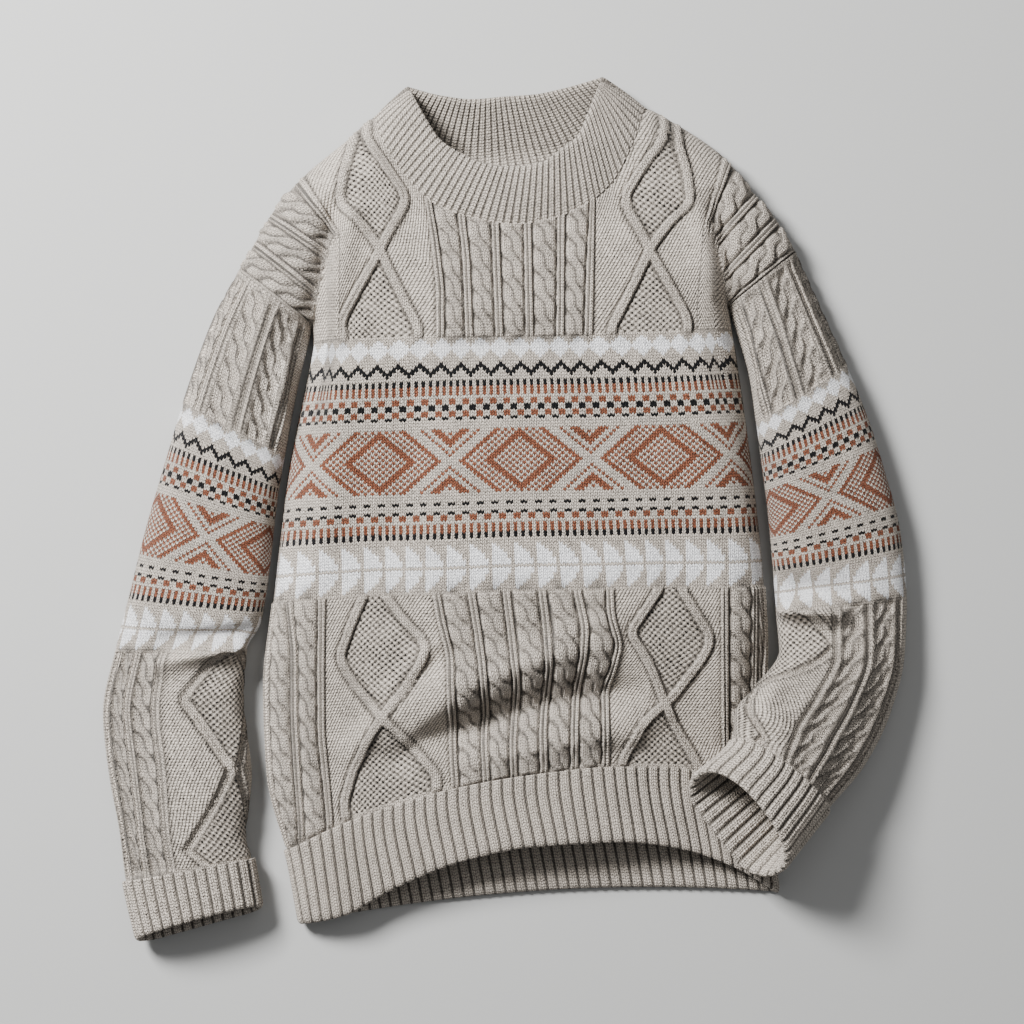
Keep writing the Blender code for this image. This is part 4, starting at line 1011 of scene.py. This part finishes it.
# One lattice down each forearm: station, and how far its two bands stand from its middle
SLEEVE_LATTICES = {
    "left": (0.640, ((5.9, 0.0), (6.85, 0.12), (7.87, 0.0), (9.4, 0.12), (10.2, 0.06))),
    "right": (0.735, ((5.7, 0.07), (6.8, 0.185), (8.1, 0.0), (9.6, 0.10), (10.2, 0.06))),
}
SLEEVE_CREASES = {
    # from (around, station) to (around, station), height, half width in millimetres
    "left": (((0.76, 5.1), (0.43, 5.85), 6.5, 11.0), ((0.77, 5.7), (0.42, 6.3), -12.5, 9.0),
             ((0.72, 7.6), (0.62, 7.9), -5.0, 7.0), ((0.60, 0.5), (0.68, 2.0), -5.0, 9.0),
             ((0.42, 7.0), (0.40, 9.0), 2.0, 14.0)),
    "right": (((0.78, 5.15), (0.47, 5.85), 9.5, 12.0), ((0.79, 5.85), (0.48, 6.2), -18.0, 10.0),
              ((0.52, 7.0), (0.60, 8.6), 2.5, 12.0), ((0.60, 0.5), (0.68, 2.0), -5.0, 9.0),
              ((0.66, 7.6), (0.58, 9.4), -4.5, 12.0)),
}
AROUND_SCALE, STATION_SCALE = 280.0, 45.0     # once round, and from station to station


def sleeve_sections(table, wale, around, station):
    """A tube through a sleeve's sections, flat underneath and rounded on top."""
    row = glide(np.array(table, float), station)
    outer, inner = row[:, 0:2], row[:, 2:4]
    turn = 2 * np.pi * (around - 0.25)
    across = np.sign(np.cos(turn)) * np.abs(np.cos(turn)) ** 0.9
    share = (1 - across) / 2
    above = np.sin(turn)
    upper = row[:, 6] + (row[:, 7] - row[:, 6]) * np.abs(above) ** 0.85
    width = np.linalg.norm(inner - outer, axis=1)
    corner = np.clip(np.minimum(share, 1 - share) * width / row[:, 6], 0, 1)
    lower = row[:, 6] * (1 - np.sqrt(1 - (1 - corner) ** 2))
    foot = row[:, 4] * (1 - share) + row[:, 5] * share
    plan = outer + (inner - outer) * share[:, None]
    height = foot + np.where(above > 0, upper, lower)
    side = unit(inner - outer)
    run = side[:, ::-1] * ((1, -1) if wale == 0 else (-1, 1))
    backward = row[:, 8] * (height - foot - row[:, 7] / 2)
    plan = plan - run * backward[:, None]
    return np.column_stack([plan, height]), share, above > 0


def sleeve_surface(table, wale, around, station):
    """A sleeve's face: around is 0 under the arm, 0.25 at its outer edge, 0.5 on top."""
    loft = sleeve_sections(table, wale, around, station)[0]
    start, share, on_top = sleeve_sections(table, wale, around, 0 * station)
    top = front_surface(np.full(len(share), float(wale)), TOP - share)
    bottom = back_surface(np.full(len(share), float(wale)), TOP - share)
    seam = np.where(on_top[:, None], top, bottom)
    return loft + ease(1 - station, 0, 1)[:, None] * (seam - start)


def crease_height(side, around, station):
    """The sleeve's own folds, above and below its rounded form, fading at its inner edge."""
    scale = np.array([AROUND_SCALE, STATION_SCALE])
    spots = np.column_stack([around.ravel(), station.ravel()]) * scale
    height = np.zeros(len(spots))
    for start, end, lift, width in SLEEVE_CREASES[side]:
        start, end = start * scale, end * scale
        height += fold_along((start, (start + end) / 2, end), spots, lift, width)
    return height.reshape(around.shape) * ease(0.735 - around, 0, 0.13)


def sleeve_relief(side, around, station, length, row):
    """Raised stitches of a sleeve above and below its colour band, and their stitch counts."""

    def place_of(mark):
        return np.array([np.interp(mark, *ring) for ring in zip(around, length)])[:, None]

    halves = []
    for pairs in (UPPER_PAIRS, LOWER_PAIRS[side]):
        height, purl = np.full(around.shape, SLEEVE_GROUND), np.zeros(around.shape)
        stitch = length / STITCH_WIDTH
        for k, (mark, following) in enumerate(zip(pairs, pairs[1:])):
            start, end = place_of(mark), place_of(following)
            own = (length >= start) & (length <= end)
            turn = row / CABLE_ROWS + SLEEVE_SHIFT * k
            cable = cabled(length - start, np.maximum(end - start, 1), turn)
            height = np.where(own, cable[0], height)
            stitch = np.where(own, cable[1] + PANEL_STITCHES * k, stitch)
            purl = np.where(own, cable[2], purl)
        outward = place_of(pairs[0]) - length, length - place_of(pairs[-1])
        for gap in outward:
            height = np.maximum(height, pair_height(np.abs(gap)))
        for gap in outward:
            height = np.where((gap > GUTTER_START) & (gap < GUTTER_EDGE), SLEEVE_GUTTER, height)
        halves.append((height, stitch, purl))
    centre, knots = SLEEVE_LATTICES[side]
    knots = np.array(knots)
    from_centre = length - place_of(centre)
    spread = np.interp(station, knots[:, 0], knots[:, 1]) * AROUND_SCALE
    clear = length > place_of(pairs[-1]) + GUTTER_EDGE
    slant = np.gradient(spread, axis=0) / np.maximum(np.abs(np.gradient(station, axis=0)), 1e-6)
    steep = np.sqrt(1 + (slant / STATION_SCALE) ** 2)
    across = [np.abs(from_centre - way * (spread + 3)) / steep for way in (-1, 1)]
    lower = np.where(clear, with_bands(height, across, SLEEVE_GROUND), height)
    seed = clear * ease(spread + 3 - np.abs(from_centre), SEED_EDGE[0] * 1.1, SEED_EDGE[1] * 1.1)
    above = station < (SLEEVE_BAND_HEAD + SLEEVE_BAND_FOOT) / 2
    shown = ease(station, SLEEVE_BAND_FOOT, SLEEVE_BAND_FOOT + 0.05) * ease(9.95 - station, 0, 0.06)
    shown += ease(station, 0.05, 0.14) * ease(SLEEVE_BAND_HEAD - station, 0, 0.05)
    shown *= ease(around, 0.16, 0.2) * ease(0.84 - around, 0, 0.04)
    relief, stitch, purl = (
        np.where(above, *pair) for pair in zip(halves[0], (lower, stitch, purl)))
    purl = np.where(relief < 0, 1.0, purl) * (shown > 0.5)
    return relief * shown, purl, seed * (shown > 0.5) * ~above, stitch


for side, table, wale in SLEEVES:
    around_line = np.linspace(0, 1, 241)
    station_line = mesh_lines((0, SLEEVE_BAND_HEAD, SLEEVE_BAND_FOOT, 10.14), (62, 54, 104))[::-1]
    around, station = np.meshgrid(around_line, station_line)
    base = sleeve_surface(table, wale, around.ravel(), station.ravel()).reshape(*around.shape, 3)
    row = row_counts(base, -station_line, -SLEEVE_BAND_FOOT, -SLEEVE_BAND_HEAD)
    length = lengths(base, axis=1)
    relief, purl, seed, stitch = sleeve_relief(side, around, station, length, row)
    top = np.array([np.interp(0.5, around_line, ring) for ring in length])[:, None]
    band_stitch = 20 + SLEEVE_STITCHES * (length - top) / length[:, -1:]
    lift = relief + crease_height(side, around, station)
    order = slice(None, None, -1) if wale == 0 else slice(None)
    places = with_relief(base[:, order], lift[:, order], wrap=True)
    places[..., 2] = np.maximum(places[..., 2], 0)
    row = row[:, order]
    # The third layer of UVs carries painted shade for the gutters beside the sleeve's cables, ribs
    # and lattice
    sleeve = knit_sheet("sleeve_" + side, places, (
        ("stitches", stitch[:, order], row), ("texture", purl[:, order], seed[:, order]),
        ("hollow", hollow(relief)[:, order], 0 * relief), ("band", band_stitch[:, order], row)),
        wrap=True)
    dress(sleeve, banded_knit, "sleeve_" + side)

# ---------------------------------------------------------------- cuffs
# The cuffs are the same broad rib as the hem, knitted on at the wrists and turned up double.
# The right one faces the camera, so its ribbed inside shows.

CUFF_RIBS = 28
CUFF_SECTION = (
    [(10.14, 1.2, 0.0), (10.06, 1.2, 0.0), (10.01, 1.3, 0.1), (9.985, 1.9, 0.4), (9.995, 2.7, 0.8)]
    + [(station, 2.6, 1.0) for station in np.linspace(10.02, 10.92, 22)]
    + [(10.97, 2.0, 0.9), (11.0, 0.9, 0.7), (11.0, -0.8, 0.6), (10.97, -2.0, -0.6)]
    + [(station, -2.6, -1.0) for station in np.linspace(10.92, 10.1, 18)])

for side, table, wale in SLEEVES:

    def cuff_face(around, station):
        return sleeve_surface(table, wale, around, np.clip(station, 0, 11))

    flip = -1 if wale == 0 else 1
    even = np.linspace(0, 1, CUFF_RIBS * 9 + 1)[::flip]
    ring = even_places(cuff_face(np.linspace(0, 1, 400), np.full(400, 10.6)), even)
    cuff = broad_rib("cuff_" + side, cuff_face, CUFF_SECTION, ring, even * CUFF_RIBS, flip,
                     (0, None), wrap=True)
    dress(cuff, rib_knit, "cuff_" + side)

# ---------------------------------------------------------------- collar
# The collar is a ring of fine one-by-one rib, picked up round the neck, folded double inwards
# and sewn down inside, so its top edge is a soft round fold.

RIM_FRONT = ((-86, 354), (-76, 335), (-59, 309), (-42, 298), (-25, 290), (-8, 287), (9, 287),
             (26, 291), (43, 303), (55, 313), (63, 330), (70, 348), (75, 361))
RIM_BACK = ((-88, 358), (-60, 351), (-34, 348), (-8, 350), (19, 352), (44, 357), (76, 366))
FRONT_NECK_RIBS, BACK_NECK_RIBS = 55, 42
NECK_RIB_DEPTH = 1.4


def collar_surface(around, up):
    """The collar's outer face: around 0 to 1 over the front, 1 to 2 back again behind it."""
    turn = np.pi * around
    part = (1 - np.cos(turn)) / 2
    bulge = np.abs(np.sin(turn))
    front = np.sin(turn) >= 0
    wale = NECK_LEFT + (NECK_RIGHT - NECK_LEFT) * part
    seam_front = front_face(wale, np.full(len(wale), float(TOP)))
    drop = (SEAM_HEIGHT - 1.3) * np.minimum(bulge * 2.2, 1) ** 0.8
    seam_back = np.column_stack([back_neck(part), SEAM_HEIGHT - drop])
    rim_front = glide(RIM_FRONT, part * (len(RIM_FRONT) - 1))
    rim_back = glide(RIM_BACK, part * (len(RIM_BACK) - 1))
    rim_front = np.column_stack([rim_front, 22 + 28 * bulge ** 0.6])
    rim_back = np.column_stack([rim_back, 22 - 5 * bulge ** 0.6])
    seam = np.where(front[:, None], seam_front, seam_back)
    rim = np.where(front[:, None], rim_front, rim_back)
    return seam + (rim - seam) * up[:, None]


COLLAR_SECTION = (
    [(up, 1.2 + 1.6 * np.sin(np.pi * up), 1.0) for up in np.linspace(-0.03, 0.93, 16)]
    + [(0.98, 0.5, 0.8), (1.01, -0.7, 0.5), (1.01, -2.0, -0.3), (0.98, -3.0, -0.7)]
    + [(up, -3.7, -1.0) for up in np.linspace(0.92, 0.0, 14)]
    + [(up, -3.7, -1.0) for up in (-0.12, -0.24, -0.36)])

halves = []
for start, ribs in ((0, FRONT_NECK_RIBS), (1, BACK_NECK_RIBS)):
    even = np.linspace(0, 1, ribs * 7 + 1)
    path = collar_surface(np.linspace(start, start + 1, 400), np.full(400, 0.5))
    halves.append((start + even_places(path, even), start * FRONT_NECK_RIBS + even * ribs))
ring, phase = (np.append(front_half, back_half[1:]) for front_half, back_half in zip(*halves))
round_rib = np.abs(np.sin(np.pi * phase))
neck_point = 0.45 + 0.55 * np.minimum(np.abs(np.sin(np.pi * ring)) * 1.5, 1)
places = ribbed_places(collar_surface, COLLAR_SECTION, ring,
                       NECK_RIB_DEPTH * (np.sqrt(round_rib) - 0.6), 1, neck_point)
places[:, -1] = places[:, 0]
up = np.array(COLLAR_SECTION)[:, :1]
places[..., 2] = np.maximum(places[..., 2], np.where(up < -0.05, 2.4 - 3 * up, 0))
# The collar's depths are painted shade, darkest between its ribs
collar = rib_sheet("collar", places, phase, round_rib < 0.4, np.clip(1.35 - round_rib * 1.5, 0, 1),
                   1, wrap=True)
dress(collar, rib_knit, "collar")
